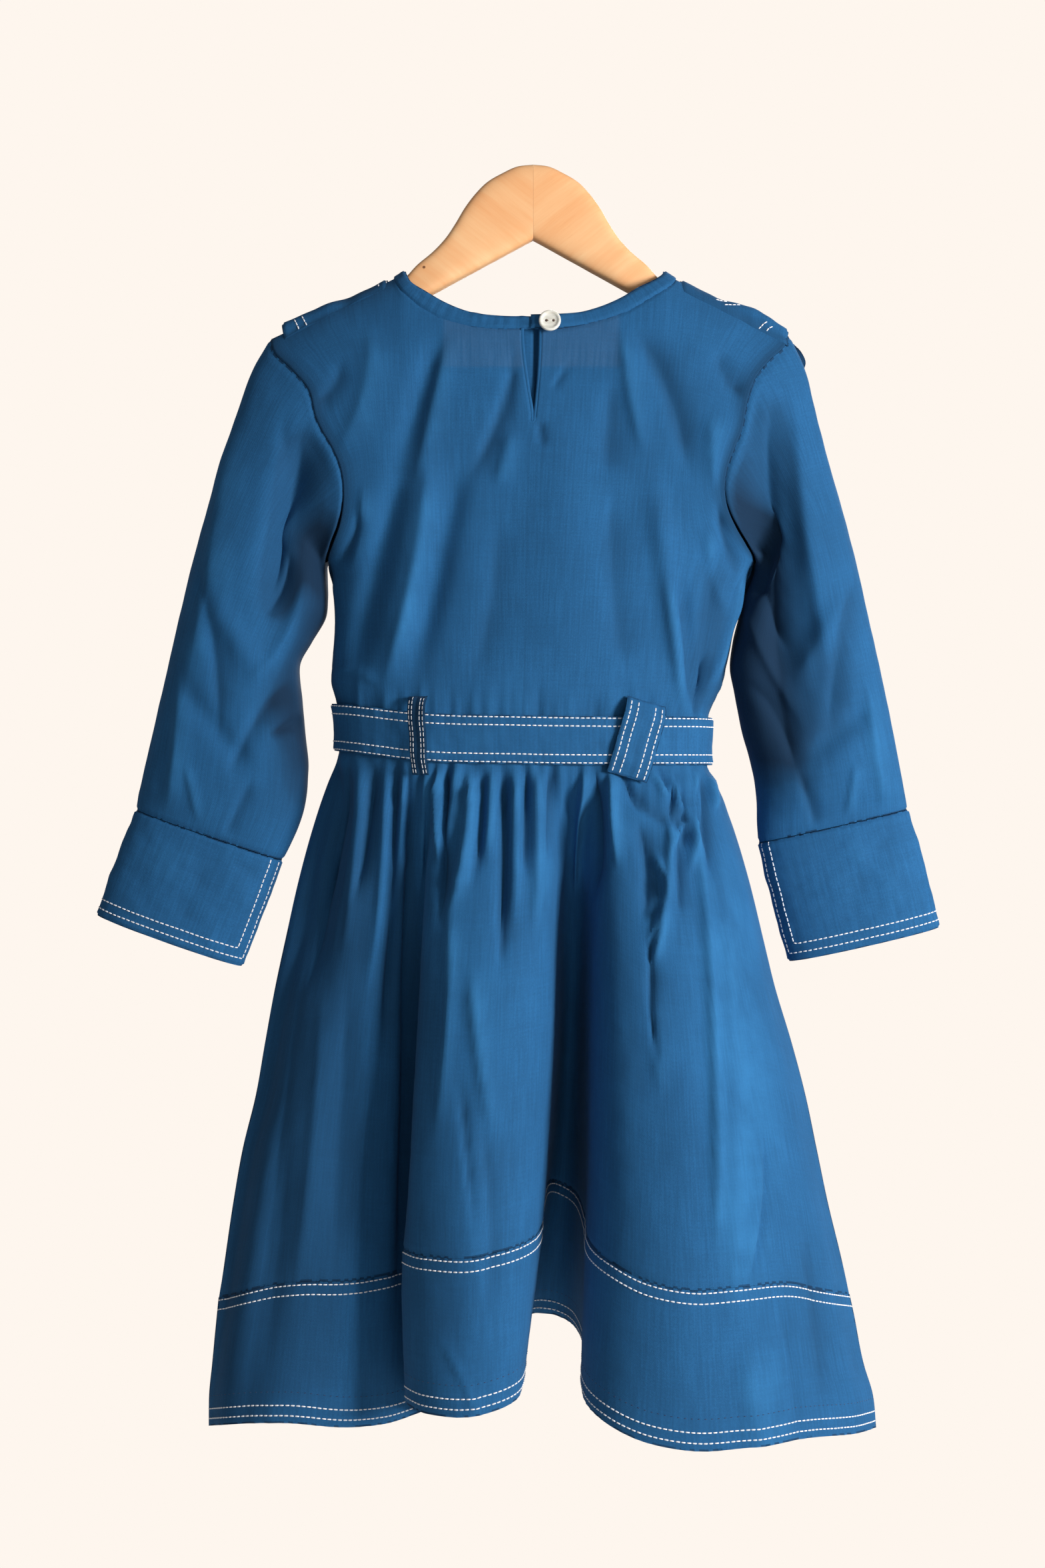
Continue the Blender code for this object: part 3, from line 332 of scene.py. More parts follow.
# How far a loop stands off, from 0 to 1, at each share of the way down it.
LOOP_PROFILE = ((0, 0), (0.05, 0.6), (0.11, 1), (0.5, 1.12), (0.87, 1), (0.93, 0.8), (1, 0.5))
LOOP_TURN = {"loop_left": 3, "loop_right": 0}  # how far the strip's right edge stands off more
LOOP_SHADE = {"loop_left": 3.6, "loop_right": 0.6}  # how much darker the strip is, on the crests' scale
LOOP_THREAD = {"loop_left": 0.24, "loop_right": 0.4}  # the half width of its stitches
BUTTON_HOLE, BUTTON_HOLES_APART = 0.8, 4.0  # a hole's radius, and how far apart the two stand
# Creases of the bodice back above the coarse folds: soft troughs under 0 and ridges over 0.
BACK_CREASES = (  # from across, from height, to across, to height, bow, half width, high
    (-9, -114, -35, -184, 3, 5, -1.8),
    (-13, -160, -20, -190, 0, 5, 1.2),
    (3, -153, 4.5, -168, 0, 2.5, -1.2),
    (20, -120, 10, -136, 0, 2.2, -0.9),
    (43.6, -130, 41, -186, 0, 8, -1.3),
    (50, -102, 62, -172, -2, 5, 1.5),
    (60, -104, 87, -180, 4, 7, -2.4),
    (100, -150, 101, -190, 0, 7, 1.4),
    (-48, -108, -65, -186, 0, 5, 1.6),
    (-59, -178, -83, -300, 3, 5, 1.8),
    (81, -246, 90, -318, 0, 3, -1.6),
    (74, -240, 84, -316, 0, 4, 1.5),
    (-98, -205, -112, -232, 3, 4, -1.8),
    (-96, -190, -104, -235, 3, 5, 1.2),
    (104, -200, 119, -240, -3, 4, -1.8),
    (98, -215, 112, -262, -3, 5, 1.4),
    (-20, -210, -34, -300, 4, 9, -1.1),
    (44, -190, 52, -300, -3, 9, -1.2),
    (-108, -118, -128, -146, 4, 6, -1.3),
    (-92, -100, -110, -170, 6, 8, 1.2),
    (104, -112, 122, -140, -4, 6, -1.3),
    (-112, -292, -88, -300, 2, 3, 0.8),
    (119, -236, 100, -306, 2, 3, 2.6),
    (116, -262, 110, -318, 0, 5, -2),
    (104, -226, 93, -316, 0, 9, -3),
    (99, -284, 91.5, -320, 0, 2.6, -3),
)
FRONT_CREASES = (
    (62, -112, 80, -190, 3, 6, -2.2),
    (50, -118, 66, -192, 0, 5, 1.5),
    (74, -186, 98, -300, 3, 6, -2.2),
    (-58, -116, -86, -188, 4, 7, -2.4),
    (-84, -206, -100, -314, 0, 5, -2),
    (-72, -180, -88, -306, 0, 6, 1.8),
    (-8, -140, -4, -310, 5, 16, 1.6),
    (30, -160, 36, -312, -4, 9, -1.5),
    (-34, -170, -42, -312, 4, 9, -1.4),
    (98, -205, 112, -240, -3, 5, -1.8),
    (-98, -200, -112, -240, 3, 5, -1.8),
    (14, -240, 20, -316, 0, 5, 1.2),
)
# The gathers and creases of the skirt's back, from the belt down.
SKIRT_CREASES = (
    (-106, -345, -128, -430, 3, 4, -2),
    (-99, -345, -116, -450, 3, 5, 1.0),
    (-90, -345, -101, -420, 2, 3.4, -2.6),
    (-84, -345, -92, -470, 3, 4, 1.4),
    (-78, -345, -84, -500, 2, 4, -3),
    (-72, -345, -76, -408, 0, 3, 2),
    (-70.5, -345, -77, -640, 3, 3, -3),
    (-60, -345, -64, -420, 0, 3, 1.8),
    (-53.5, -345, -52, -402, 0, 3, 2.4),
    (-48, -345, -51, -430, 0, 3, -2.6),
    (-43.5, -345, -48, -394, 0, 2.6, 1.8),
    (-36, -345, -46, -427, 4, 3.6, 3),
    (-46, -420, -53, -545, 3, 5, 2.4),
    (-29, -345, -34, -410, 2, 3, -2.4),
    (-23, -345, -26, -398, 0, 3, 1.8),
    (-17, -345, -18, -455, 1, 3, -3),
    (-10.5, -345, -11, -430, 0, 3.4, 2.2),
    (-4, -345, -5, -408, 0, 3, -2),
    (2, -345, 0, -440, 0, 4, 2),
    (8, -345, 8, -398, 0, 3, -1.6),
    (34, -345, 34, -420, 2, 3, -2.2),
    (41, -345, 46, -400, 0, 3, 2.2),
    (47, -345, 58, -372, 0, 2.6, -2.2),
    (54, -362, 78, -380, -2, 2.6, -2),
    (62, -345, 77, -366, 0, 2.8, 2.4),
    (68, -345, 76, -364, 0, 2.2, -2.4),
    (80, -345, 76, -380, 0, 2.4, -2.2),
    (75.5, -374, 71, -425, 1, 3, 3),
    (71, -420, 62.5, -458, 2, 2.6, 2.6),
    (80, -372, 80, -430, 0, 3, -2.4),
    (66, -428, 68, -512, -4, 2.2, -2.4),
    (90, -345, 86, -404, 3, 3, 2.6),
    (95, -345, 98, -410, 0, 3, -2.2),
    (91, -388, 97, -600, 2, 3, 3.2),
    (103, -395, 106, -640, 2, 11, 2.4),
    (-128, -380, -162, -724, 0, 34, -5.5),
    (-112, -344, -132, -470, 2, 13, -4),
    (-97, -344, -108, -450, 2, 5, 1.2),
    (-90, -380, -100, -724, 0, 22, 1.2),
    (78, -352, 89, -376, -3, 2.4, 4),
    (89, -376, 76, -392, -2, 2.2, 3.4),
    (82, -360, 83, -392, 2, 3.5, -4),
    (66, -396, 73, -424, 2, 2.2, 3),
    (73, -424, 63, -446, -2, 2.2, 2.6),
    (58, -380, 60, -430, 3, 4, -3),
    (93, -352, 94, -392, -2, 2.6, -4),
    (99, -352, 103, -372, 0, 2.6, 3),
    (28, -345, 24, -420, 0, 4, 3),
    (64, -470, 68, -520, 0, 4, 1.6),
    (124.5, -550, 115, -622, 3, 1.6, -1.8),
    (120, -556, 111, -622, 3, 4, 1),
    (-34, -458, -22, -545, -2, 5, 2),
    (-40, -520, -32, -590, 0, 2, -1.4),
    (-28, -540, -24, -640, 3, 6, -1.6),
    (150, -600, 160, -700, 0, 8, -1.6),
    (132, -640, 141, -715, 3, 3, -1),
    (-120, -480, -134, -640, 3, 9, 1.6),
    (-104, -470, -110, -620, 0, 8, -1.6),
    (-140, -560, -152, -690, 0, 9, -1.4),
    (-50, -655, -28, -700, 2, 1.6, 0.8),
    (112, -660, 124, -720, -2, 9, 1.5),
)
# The gathers of the front follow by a seeded draw between these sizes, and its long creases are listed.
FRONT_GATHERS = 30
FRONT_LONG_CREASES = (
    (-60, -380, -80, -600, 4, 6, -2.4),
    (-30, -400, -38, -640, 3, 7, 2.2),
    (24, -380, 28, -620, 3, 7, -2.4),
    (66, -400, 88, -640, -4, 6, 2.4),
    (92, -390, 126, -620, 4, 6, -2.2),
    (-96, -390, -126, -600, -3, 6, 2),
    (4, -500, 0, -700, 3, 9, -1.8),
    (118, -560, 128, -640, 2, 2, -1.4),
)
LEFT_CREASES = (
    (-131, -160, -148, -262, 0, 11, -8),
    (-142, -150, -150, -240, 4, 6, -1.6),
    (-176, -150, -196, -300, 5, 9, 1.6),
    (-134, -226, -150, -262, 3, 3.5, -2),
    (-128, -236, -160, -300, 5, 5, 1.8),
    (-190, -235, -178, -330, 4, 6, -1.6),
    (-140, -300, -172, -352, -3, 5, -1.6),
    (-200, -300, -208, -372, 2, 6, 1.5),
    (-132, -318, -150, -330, 0, 3, -1.2),
    (-160, -356, -176, -388, 0, 4, -1.2),
    (-196, -346, -190, -378, 0, 3, 0.9),
)
RIGHT_CREASES = (
    (128, -146, 146, -350, -4, 20, -6),
    (136, -140, 140, -236, -4, 6, -2),
    (150, -140, 170, -300, -5, 9, 2),
    (122, -232, 142, -280, -3, 4, -2.2),
    (118, -250, 150, -320, -4, 5, 1.8),
    (184, -240, 168, -330, -4, 6, -1.6),
    (122, -300, 150, -352, 3, 5, -1.6),
    (190, -300, 200, -370, -2, 6, 1.5),
    (150, -350, 162, -384, 0, 4, -1.3),
    (182, -346, 178, -376, 0, 3, 0.9),
)
CUFF_CREASES = (
    (-222, -388, -196, -420, 3, 7, 0.7),
    (-180, -396, -200, -440, -3, 8, -0.6),
    (176, -390, 210, -424, 3, 7, 0.7),
    (206, -384, 180, -430, -3, 8, -0.6),
    (190, -400, 205, -408, 0, 3, -0.5),
)
BELT_CREASES = (
    (-70, -330, -20, -334, 0, 5, 0.3),
    (20, -338, 60, -332, 0, 4, -0.3),
)

# Stitching: the pitch and length of a stitch, its half width, and where the lines run.
PITCH, STITCH, THREAD = 3.0, 2.35, 0.4
STITCH_SIDES = 5
STITCH_RINGS = ((0, 0.45, -0.5), (0.16, 0.95, 0.7), (0.84, 0.95, 0.7), (1, 0.45, -0.5))  # along, size, rise
HEM_LINES = (4.3, 9.8)  # above the hem's edge
ALLOWANCE_LINE = 17.0  # the blue line that holds the hem's turning
BORDER_LINES = (1.7, 7.2)  # under the border's upper edge
BELT_LINES = (1.3, 5.9)  # in from each edge of the belt
LOOP_LINES = (0.07, 0.27, 0.73, 0.93)  # as shares of a loop's width
CUFF_LINES = (4.6, 9.8)
FLAP_LINES = (3.0, 8.4)
PUCKER = 6.4  # the length of a pucker along a seam
DEEPER = 1.5  # how much deeper fine creases are made than their tables say
GATHERED, GATHERS_END = 0.8, -350  # what a crease that starts above this height gains more, as a gather
SOFT, PRESSED = 1.5, 1.1  # how sharp the bodice's and the sleeves' creases are, and the skirt's
CREST_HIGH = 2.4  # the height at which a crest is palest, from wear and painted highlight
INNER_SHADE = 4.4  # painted shade: how much darker, on the crests' scale, a sleeve is on the side by the body
INNER_REACH = {"left": -0.3, "right": 0.1}  # how far out that painted shade reaches, on a scale from -1 to 1
SIDE_SHADE, SIDE_SHADE_WIDE = 3.0, 7  # painted shade: how much darker the bodice is beside its side seams, and how far
SEAM_SHADE = 1.4  # painted shade: how much darker a sewn edge is for each millimetre that it dips

# The photograph's frame: what the camera sees at the plane of the seams.
CAMERA_AT = (-6.16, -1050.0, -357.0)
FRAME_HIGH = 905.5
FLOOR_HEIGHT = -1150.0

# How finely the pieces are made.
BODICE_ROW = 2.0
SKIRT_FINE_ROWS, BAND_FINE_ROWS = 108, 34
BACK_FINE_STEPS, FRONT_FINE_STEPS = 12, 14
FLAP_FINE = 42  # rows and columns of a flap
FLAP_BACK_REACH = {-1: -7.0, 1: -9.0}  # how far each flap starts down the back
# The short stitch lines that show at the shoulders: from across, from height, to across, to height.
FLAP_MARKS = {
    "left": ((-137.6, -90.7, -133.4, -97.2), (-133.4, -88.8, -129.6, -94.9), (-84.8, -68.0, -84.6, -70.6),
             (-88.5, -69.8, -88.3, -72.4)),
    "right": ((103.6, -79.3, 112.7, -79.6), (109.7, -82.7, 118.8, -81.9), (129.5, -96.8, 135.6, -91.8),
              (133.3, -98.3, 138.2, -93.7)),
}
HANGER_ROUND = 36  # points round the hanger's section
MITRE_GAP = 0.06  # between the hanger's halves
KNOT_AT = (-62.8, -6.0, -60.2)  # the small dark knot in the hanger's left arm
THREAD_PITCH = 0.9  # between the threads of the weave
BUTTON_PROFILE = (  # radius, stand off the middle
    (5.2, -1.2), (6.0, -0.8), (6.2, -0.2), (6.2, 0.6), (5.9, 1.05), (5.4, 1.2), (4.9, 1.1), (4.5, 0.8),
    (4.1, 0.45), (2.8, 0.35), (0.4, 0.35),
)
NECK_CREASES = (
    (-35, -90, -26, -95, 0, 1.6, 0.5),
    (-8, -91, -2, -98, 0, 1.6, 0.5),
)

# Light: the studio's even light, and soft lights as name, place in metres, size, power and colour.
WORLD_LIGHT = 0.24
LIGHTS = (
    ("key", (1.28, -0.98, -0.2), 0.5, 33, (1.0, 0.99, 0.98)),
    ("fill", (0.5, -2.4, -0.9), 1.4, 6, (0.97, 0.98, 1.0)),
    ("front", (0.8, 2.2, 0.6), 1.6, 40, (1.0, 0.99, 0.97)),
)
FLOOR_RADIUS = 0.62


def smooth_at(where, stations, values):
    """values at where, on a smooth curve through the stations, which rise."""
    stations = np.asarray(stations, float)
    values = np.asarray(values, float)
    where = np.clip(np.asarray(where, float), stations[0], stations[-1])
    slopes = np.gradient(values, stations, axis=0)
    low = np.clip(np.searchsorted(stations, where, side="right") - 1, 0, len(stations) - 2)
    step = stations[low + 1] - stations[low]
    t = (where - stations[low]) / step
    wider = t.shape + (1,) * (values.ndim - 1)
    t, step = t.reshape(wider), step.reshape(wider)
    start = (2 * t**3 - 3 * t**2 + 1) * values[low] + (t**3 - 2 * t**2 + t) * step * slopes[low]
    return start + (3 * t**2 - 2 * t**3) * values[low + 1] + (t**3 - t**2) * step * slopes[low + 1]


def straight_at(where, stations, values):
    """values at where, on straight lines between the stations."""
    low = np.clip(np.searchsorted(stations, where, side="right") - 1, 0, len(stations) - 2)
    t = (where - stations[low]) / (stations[low + 1] - stations[low])
    t = t.reshape(t.shape + (1,) * (values.ndim - 1))
    return values[low] * (1 - t) + values[low + 1] * t


def ramp(value, start, end):
    """0 before start, 1 after end, and smooth between."""
    t = np.clip((np.asarray(value, float) - start) / (end - start), 0, 1)
    return t * t * (3 - 2 * t)


def unit(vectors):
    return vectors / np.maximum(np.linalg.norm(vectors, axis=-1, keepdims=True), 1e-9)


def run_along(points):
    """Each point's distance from the first, along the run."""
    return np.concatenate([[0], np.cumsum(np.linalg.norm(np.diff(points, axis=0), axis=1))])


def spaced(stations, spacing):
    """Places about spacing apart that keep every station but the last."""
    pairs = zip(stations, stations[1:])
    return [np.linspace(a, b, max(1, math.ceil((b - a) / spacing)), endpoint=False) for a, b in pairs]


def body_sides(height):
    table = np.array(sorted(BODY))
    return smooth_at(height, table[:, 0], table[:, 1:])


def oval(share, power=ROUNDNESS):
    """How far an oval stands out at a share of its half width."""
    return (1 - np.clip(np.abs(share), 0, 1) ** power) ** (1 / power)


def ridge(across):
    """The height of the shoulder line."""
    left = -65.4 + 0.489 * (across + 80)
    right = -66 - 0.5 * (across - 82)
    return np.where(across < 0, np.minimum(left, -62), np.minimum(right, -62))


def body_back(across, height, side):
    """The y of the body's cloth: side -1 on the back and 1 on the front."""
    left, right, back, front = np.moveaxis(body_sides(height), -1, 0)
    share = (across - (left + right) / 2) / ((right - left) / 2)
    fallen = np.clip((ridge(across) - height) / SHOULDER_FALL, 0, 1)
    dome = np.sqrt(1 - (1 - fallen) ** 2)
    return side * np.where(side < 0, back, front) * oval(share) * dome


def folds(across, height, table, crisp=None):
    """How far a table's folds lift the cloth at a place. A row may bow sideways between its ends. With crisp,
    folds are narrower on their left, as pressed creases are, and the nearer it is to 1 the sharper."""
    lifted = np.zeros(np.shape(across))
    for x0, z0, x1, z1, *bow, wide, high in table:
        run = math.hypot(x1 - x0, z1 - z0)
        along = ((across - x0) * (x1 - x0) + (height - z0) * (z1 - z0)) / run**2
        off = ((across - x0) * (z1 - z0) - (height - z0) * (x1 - x0)) / run
        off = off + sum(bow) * 4 * np.clip(along, 0, 1) * (1 - np.clip(along, 0, 1))
        ends = ramp(along, -0.1, 0.25) * (1 - ramp(along, 0.7, 1.1))
        reach = wide * (np.where(off > 0, 0.6, 1.25) if crisp else 1)
        lifted += high * ends * np.exp(-np.abs(off / reach) ** (crisp or 2))
    return lifted


def normals_of(grid, ring=False):
    """The outward normal at each point of a grid whose columns run round and whose rows run up."""
    grid = grid[..., :3]
    closed = np.concatenate([grid, grid[:, :1]], axis=1) if ring else grid
    cells = unit(np.cross(closed[1:, 1:] - closed[:-1, :-1], closed[1:, :-1] - closed[:-1, 1:]))
    cells = np.concatenate([cells[:1], cells, cells[-1:]])
    first, last = (cells[:, -1:], cells[:, :0]) if ring else (cells[:, :1], cells[:, -1:])
    cells = np.concatenate([first, cells, last], axis=1)
    return unit(cells[1:, 1:] + cells[:-1, 1:] + cells[1:, :-1] + cells[:-1, :-1])


def chords(grid):
    """The typical distance between each row and the next."""
    return np.quantile(np.linalg.norm(np.diff(grid[..., :3], axis=0), axis=-1), 0.75, axis=1)


def finer(grid, spacing, places, ring=False, read=smooth_at):
    """The grid with rows added until they stand about spacing apart, and the places of its rows."""
    count = len(grid)
    if ring:
        grid = np.concatenate([grid[-2:], grid, grid[:3]])
        places = np.concatenate([places[-2:] - count, places, places[:3] + count])
    stations = np.concatenate([[0], np.cumsum(chords(grid))])
    first, last = (2, 2 + count) if ring else (0, count - 1)
    parts = spaced(stations[first : last + 1], spacing)
    where = np.concatenate(parts + ([] if ring else [stations[-1:]]))
    return read(where, stations, grid), np.interp(where, stations, places)


def finer_columns(grid, spacing, places=None, ring=False, read=smooth_at):
    places = np.arange(grid.shape[1]) if places is None else places
    turned, places = finer(np.swapaxes(grid, 0, 1), spacing, places, ring, read)
    return np.swapaxes(turned, 0, 1), places


def waves(u, v, wide, seed, count=9):
    """An uneven field about 1 high, from sine waves of about one width in seeded directions."""
    draw = np.random.default_rng(seed)
    total = np.zeros(np.shape(u))
    for _ in range(count):
        turn, phase = draw.uniform(0, 2 * math.pi, 2)
        steps = 2 * math.pi / (wide * draw.uniform(0.7, 1.6))
        total += np.sin(steps * (u * math.cos(turn) + v * math.sin(turn)) + phase)
    return total / math.sqrt(count)


def puckers(along, away, seed, reach=6.0, high=0.28):
    """Small uneven waves along a seam, dying away from it."""
    uneven = along + 2.2 * waves(along, 0 * along, 37, seed)
    rise = np.sin(2 * math.pi * uneven / PUCKER) * (0.6 + 0.5 * waves(along, 0 * along, 23, seed + 1))
    return high * rise * np.exp(-((away / reach) ** 2))


def cloth_places(grid):
    """Each point's distance along the cloth from the first column and from the first row."""
    across = np.linalg.norm(np.diff(grid[..., :3], axis=1), axis=-1)
    up = np.linalg.norm(np.diff(grid[..., :3], axis=0), axis=-1)
    u = np.concatenate([[0], np.cumsum(np.quantile(across, 0.9, axis=0))])
    v = np.concatenate([np.zeros((1, grid.shape[1])), np.cumsum(up, axis=0)])
    return np.broadcast_to(u, v.shape), v


def pushed(grid, amount, ring=False):
    """The grid moved along its normals."""
    return grid[..., :3] + normals_of(grid, ring) * amount[..., None]


def with_channels(grid, crest=0.0):
    """The grid with its cloth places and its crests, from -2 in the deepest painted shade to 1 on a ridge
    paled by wear and painted highlight.
    """
    u, v = cloth_places(grid)
    crests = np.broadcast_to(np.clip(crest / CREST_HIGH, -2, 1), u.shape)
    return np.concatenate([grid[..., :3], np.stack([u, v, crests], axis=-1)], axis=-1)


# How the wall goes over at an edge: how far into the first cell each added row stands, how thick the wall
# is there as a share, and how far a sewn edge dips.
EDGE_AT = (0, 0.1, 0.42)
EDGE_THICK = (0.3, 0.72, 0.97)
EDGE_DIP = (0.75, 0.4, 0.12)


def edged(rows):
    """Rows of a grid with more close to both ends."""
    start = [rows[0] + (rows[1] - rows[0]) * at for at in EDGE_AT]
    end = [rows[-1] + (rows[-2] - rows[-1]) * at for at in EDGE_AT]
    return np.concatenate([np.array(start), rows[1:-1], np.array(end[::-1])])


def edge_values(count, values, first=1.0, last=1.0):
    line = np.full(count, values[3])
    line[:3] = values[3] + (np.array(values[:3]) - values[3]) * first
    line[-3:] = values[3] + (np.array(values[2::-1]) - values[3]) * last
    return line


class Surface:
    """The outer face of a wall: its points and outward normals, in rows and columns."""

    def __init__(self, top, out):
        self.top, self.out = top, out

    def turned(self):
        return Surface(np.swapaxes(self.top, 0, 1), np.swapaxes(self.out, 0, 1))

    def at(self, rows, columns):
        """Points and normals at fractional rows and columns."""
        limits = np.array(self.top.shape[:2]) - 1.001
        r, c = np.clip(rows, 0, limits[0]), np.clip(columns, 0, limits[1])
        r0, c0 = r.astype(int), c.astype(int)
        fr, fc = (r - r0)[:, None], (c - c0)[:, None]
        found = []
        for grid in (self.top, self.out):
            low = grid[r0, c0] * (1 - fc) + grid[r0, c0 + 1] * fc
            found.append(low * (1 - fr) + (grid[r0 + 1, c0] * (1 - fc) + grid[r0 + 1, c0 + 1] * fc) * fr)
        return found[0], unit(found[1])

    def rows_at(self, distance, from_end=False):
        """For each column, the row at a distance from the first or the last row."""
        top = self.top[::-1] if from_end else self.top
        steps = np.linalg.norm(np.diff(top, axis=0), axis=-1)
        run = np.concatenate([np.zeros((1, top.shape[1])), np.cumsum(steps, axis=0)])
        rows = np.array([np.interp(distance, run[:, i], np.arange(len(run))) for i in range(run.shape[1])])
        return len(run) - 1 - rows if from_end else rows

    def line(self, distance, from_end=False):
        """A line that keeps its distance from an edge."""
        rows = self.rows_at(distance, from_end)
        return self.at(rows, np.arange(len(rows), dtype=float))


def wall(name, grid, thick=WALL, lift=0.0, ring=False, cut=None, dips=(0, 0, 0, 0)):
    """The cloth in place of a node, a closed wall on a grid with channels. dips says how far the first row,
    last row, first column and last column are sewn down, from 0 to 1. cut marks the cells that are open."""
    grid = edged(grid)
    grid = grid if ring else np.swapaxes(edged(np.swapaxes(grid, 0, 1)), 0, 1)
    count, across = grid.shape[:2]
    if cut is not None:
        cut = np.concatenate([cut[:1]] * 3 + [cut[1:-1]] + [cut[-1:]] * 3)
        cut = np.concatenate([cut[:, :1]] * 3 + [cut[:, 1:-1]] + [cut[:, -1:]] * 3, axis=1)
    thin = edge_values(count, (*EDGE_THICK, 1))[:, None]
    dip = edge_values(count, (*EDGE_DIP, 0), dips[0], dips[1])[:, None] + np.zeros((1, across))
    if not ring:
        thin = np.minimum(thin, edge_values(across, (*EDGE_THICK, 1))[None])
        dip = dip + edge_values(across, (*EDGE_DIP, 0), dips[2], dips[3])[None]
    thin = np.broadcast_to(thin, (count, across))
    out = normals_of(grid, ring)
    middle = grid[..., :3] + out * (lift - dip)[..., None]
    crest = grid[..., 5:]
    # Edges that dip are painted darker, as shade in the dip.
    sewn = np.maximum(crest - SEAM_SHADE * dip[..., None], np.minimum(crest, -1))
    grid = np.concatenate([grid[..., :5], sewn], axis=-1)
    half = out * (thick / 2 * thin)[..., None]
    obj = wall_mesh(f"{name}_cloth", middle + half, middle - half, grid, ring, cut)
    dressed(obj, name)
    return obj, Surface(middle + half, out)


def dressed(obj, node):
    """Puts an object in the part's body, in place of a node."""
    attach(obj, "root")
    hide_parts(node)


def placed(name, data, *looks):
    """A new object in the scene for a mesh, a light or a camera, with its materials."""
    for material in looks:
        data.materials.append(material)
    obj = bpy.data.objects.new(name, data)
    bpy.context.scene.collection.objects.link(obj)
    return obj


def wall_mesh(name, outer, inner, grid, ring, cut):
    count, across = grid.shape[:2]
    cells = np.ones((count - 1, across if ring else across - 1), bool)
    if cut is not None:
        cells &= ~cut
    r, c = np.nonzero(cells)
    after = (c + 1) % across

    def index(row, column):
        return row * across + column

    faces = np.stack([index(r, c), index(r, after), index(r + 1, after), index(r + 1, c)], axis=1)
    inside = count * across
    beside = np.pad(cells, 1)
    if ring:
        beside[:, 0], beside[:, -1] = beside[:, -2], beside[:, 1]
    ends = []
    for near, first, second in (
        (beside[:-2, 1:-1], (0, 0), (0, 1)),
        (beside[2:, 1:-1], (1, 1), (1, 0)),
        (beside[1:-1, :-2], (1, 0), (0, 0)),
        (beside[1:-1, 2:], (0, 1), (1, 1)),
    ):
        r, c = np.nonzero(cells & ~near)
        a = index(r + first[0], (c + first[1]) % across)
        b = index(r + second[0], (c + second[1]) % across)
        ends.append(np.stack([b, a, a + inside, b + inside], axis=1))
    ends = np.concatenate(ends)
    all_faces = np.concatenate([faces, faces[:, ::-1] + inside, ends])
    # Inner faces take the second material, the darker denim of painted shade.
    back = np.concatenate([np.zeros(len(faces)), np.ones(len(faces)), np.zeros(len(ends))])
    used, corners = np.unique(all_faces, return_inverse=True)
    corners = corners.reshape(-1, 4)
    points = np.concatenate([outer.reshape(-1, 3), inner.reshape(-1, 3)])[used] * MM
    channels = np.concatenate([grid[..., 3:].reshape(-1, 3)] * 2)[used]
    mesh = bpy.data.meshes.new(name)
    mesh.from_pydata(points.tolist(), [], corners.tolist())
    mesh.polygons.foreach_set("material_index", back.astype(np.int32))
    mesh.polygons.foreach_set("use_smooth", np.ones(len(all_faces), bool))
    layer = mesh.uv_layers.new(name="cloth")
    layer.data.foreach_set("uv", (channels[corners.reshape(-1), :2] * MM).reshape(-1))
    crest = mesh.attributes.new("crest", "FLOAT", "POINT")
    crest.data.foreach_set("value", channels[:, 2].astype(np.float32))
    return placed(name, mesh, *CLOTH)


def stitches(name, lines, look, seed=1, pitch=PITCH, long=STITCH, half=THREAD, rise=0.16):
    """Stitches along lines, each a run of points and normals, as one mesh of small closed threads."""
    draw = np.random.default_rng(seed)
    starts, ends, ups = [], [], []
    for points, out in lines:
        run = run_along(points)
        at = np.arange(0.4, run[-1] - long, pitch)
        at = at + draw.uniform(-0.12, 0.12, len(at))
        for where, found in ((at, starts), (at + long, ends)):
            found.append(np.stack([np.interp(where, run, points[:, i]) for i in range(3)], axis=1))
        ups.append(np.stack([np.interp(at + long / 2, run, out[:, i]) for i in range(3)], axis=1))
    start, end, up = np.concatenate(starts), np.concatenate(ends), unit(np.concatenate(ups))
    along = unit(end - start)
    side = unit(np.cross(up, along))
    sides = STITCH_SIDES
    points = []
    for at, size, high in STITCH_RINGS:
        for i in range(sides):
            turn = 2 * math.pi * i / sides
            high_at = math.sin(turn) * half * 0.8 * size + rise * high
            reach = side * (math.cos(turn) * half * size) + up * high_at
            points.append(start + (end - start) * at + reach)
    points = np.stack(points, axis=1)
    count = points.shape[1]
    faces = [list(reversed(range(sides))), list(range(count - sides, count))]
    for ring in range(len(STITCH_RINGS) - 1):
        for i in range(sides):
            a, b = ring * sides + i, ring * sides + (i + 1) % sides
            faces.append([a, b, b + sides, a + sides])
    all_faces = [[corner + k * count for corner in face] for k in range(len(points)) for face in faces]
    mesh = bpy.data.meshes.new(name)
    mesh.from_pydata((points.reshape(-1, 3) * MM).tolist(), [], all_faces)
    mesh.polygons.foreach_set("use_smooth", np.ones(len(all_faces), bool))
    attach(placed(name, mesh, look), "root")


def waist_height(across):
    table = np.array(WAIST)
    return smooth_at(across, table[:, 0], table[:, 1])


def bodice_columns():
    """The shares of the waist at which the columns of a bodice panel stand."""
    left = [share * NECK_SHARES[0] for share in SHOULDER_SHARES[:-1]]
    right = [1 - share * (1 - NECK_SHARES[-1]) for share in reversed(SHOULDER_SHARES[:-1])]
    return np.array(left + list(NECK_SHARES) + right)


def bodice_top(seam):
    """The top edge of a bodice panel: up the left shoulder, along the neck seam and down the right one."""
    tip_left, tip_right = EDGES[-1][1:3], EDGES[-1][3:5]
    shares = np.array(SHOULDER_SHARES[:-1])[:, None]
    left = np.array(tip_left) * (1 - shares) + np.array(seam[0]) * shares
    right = np.array(tip_right) * (1 - shares) + np.array(seam[-1]) * shares
    return np.concatenate([left, np.array(seam), right[::-1]])


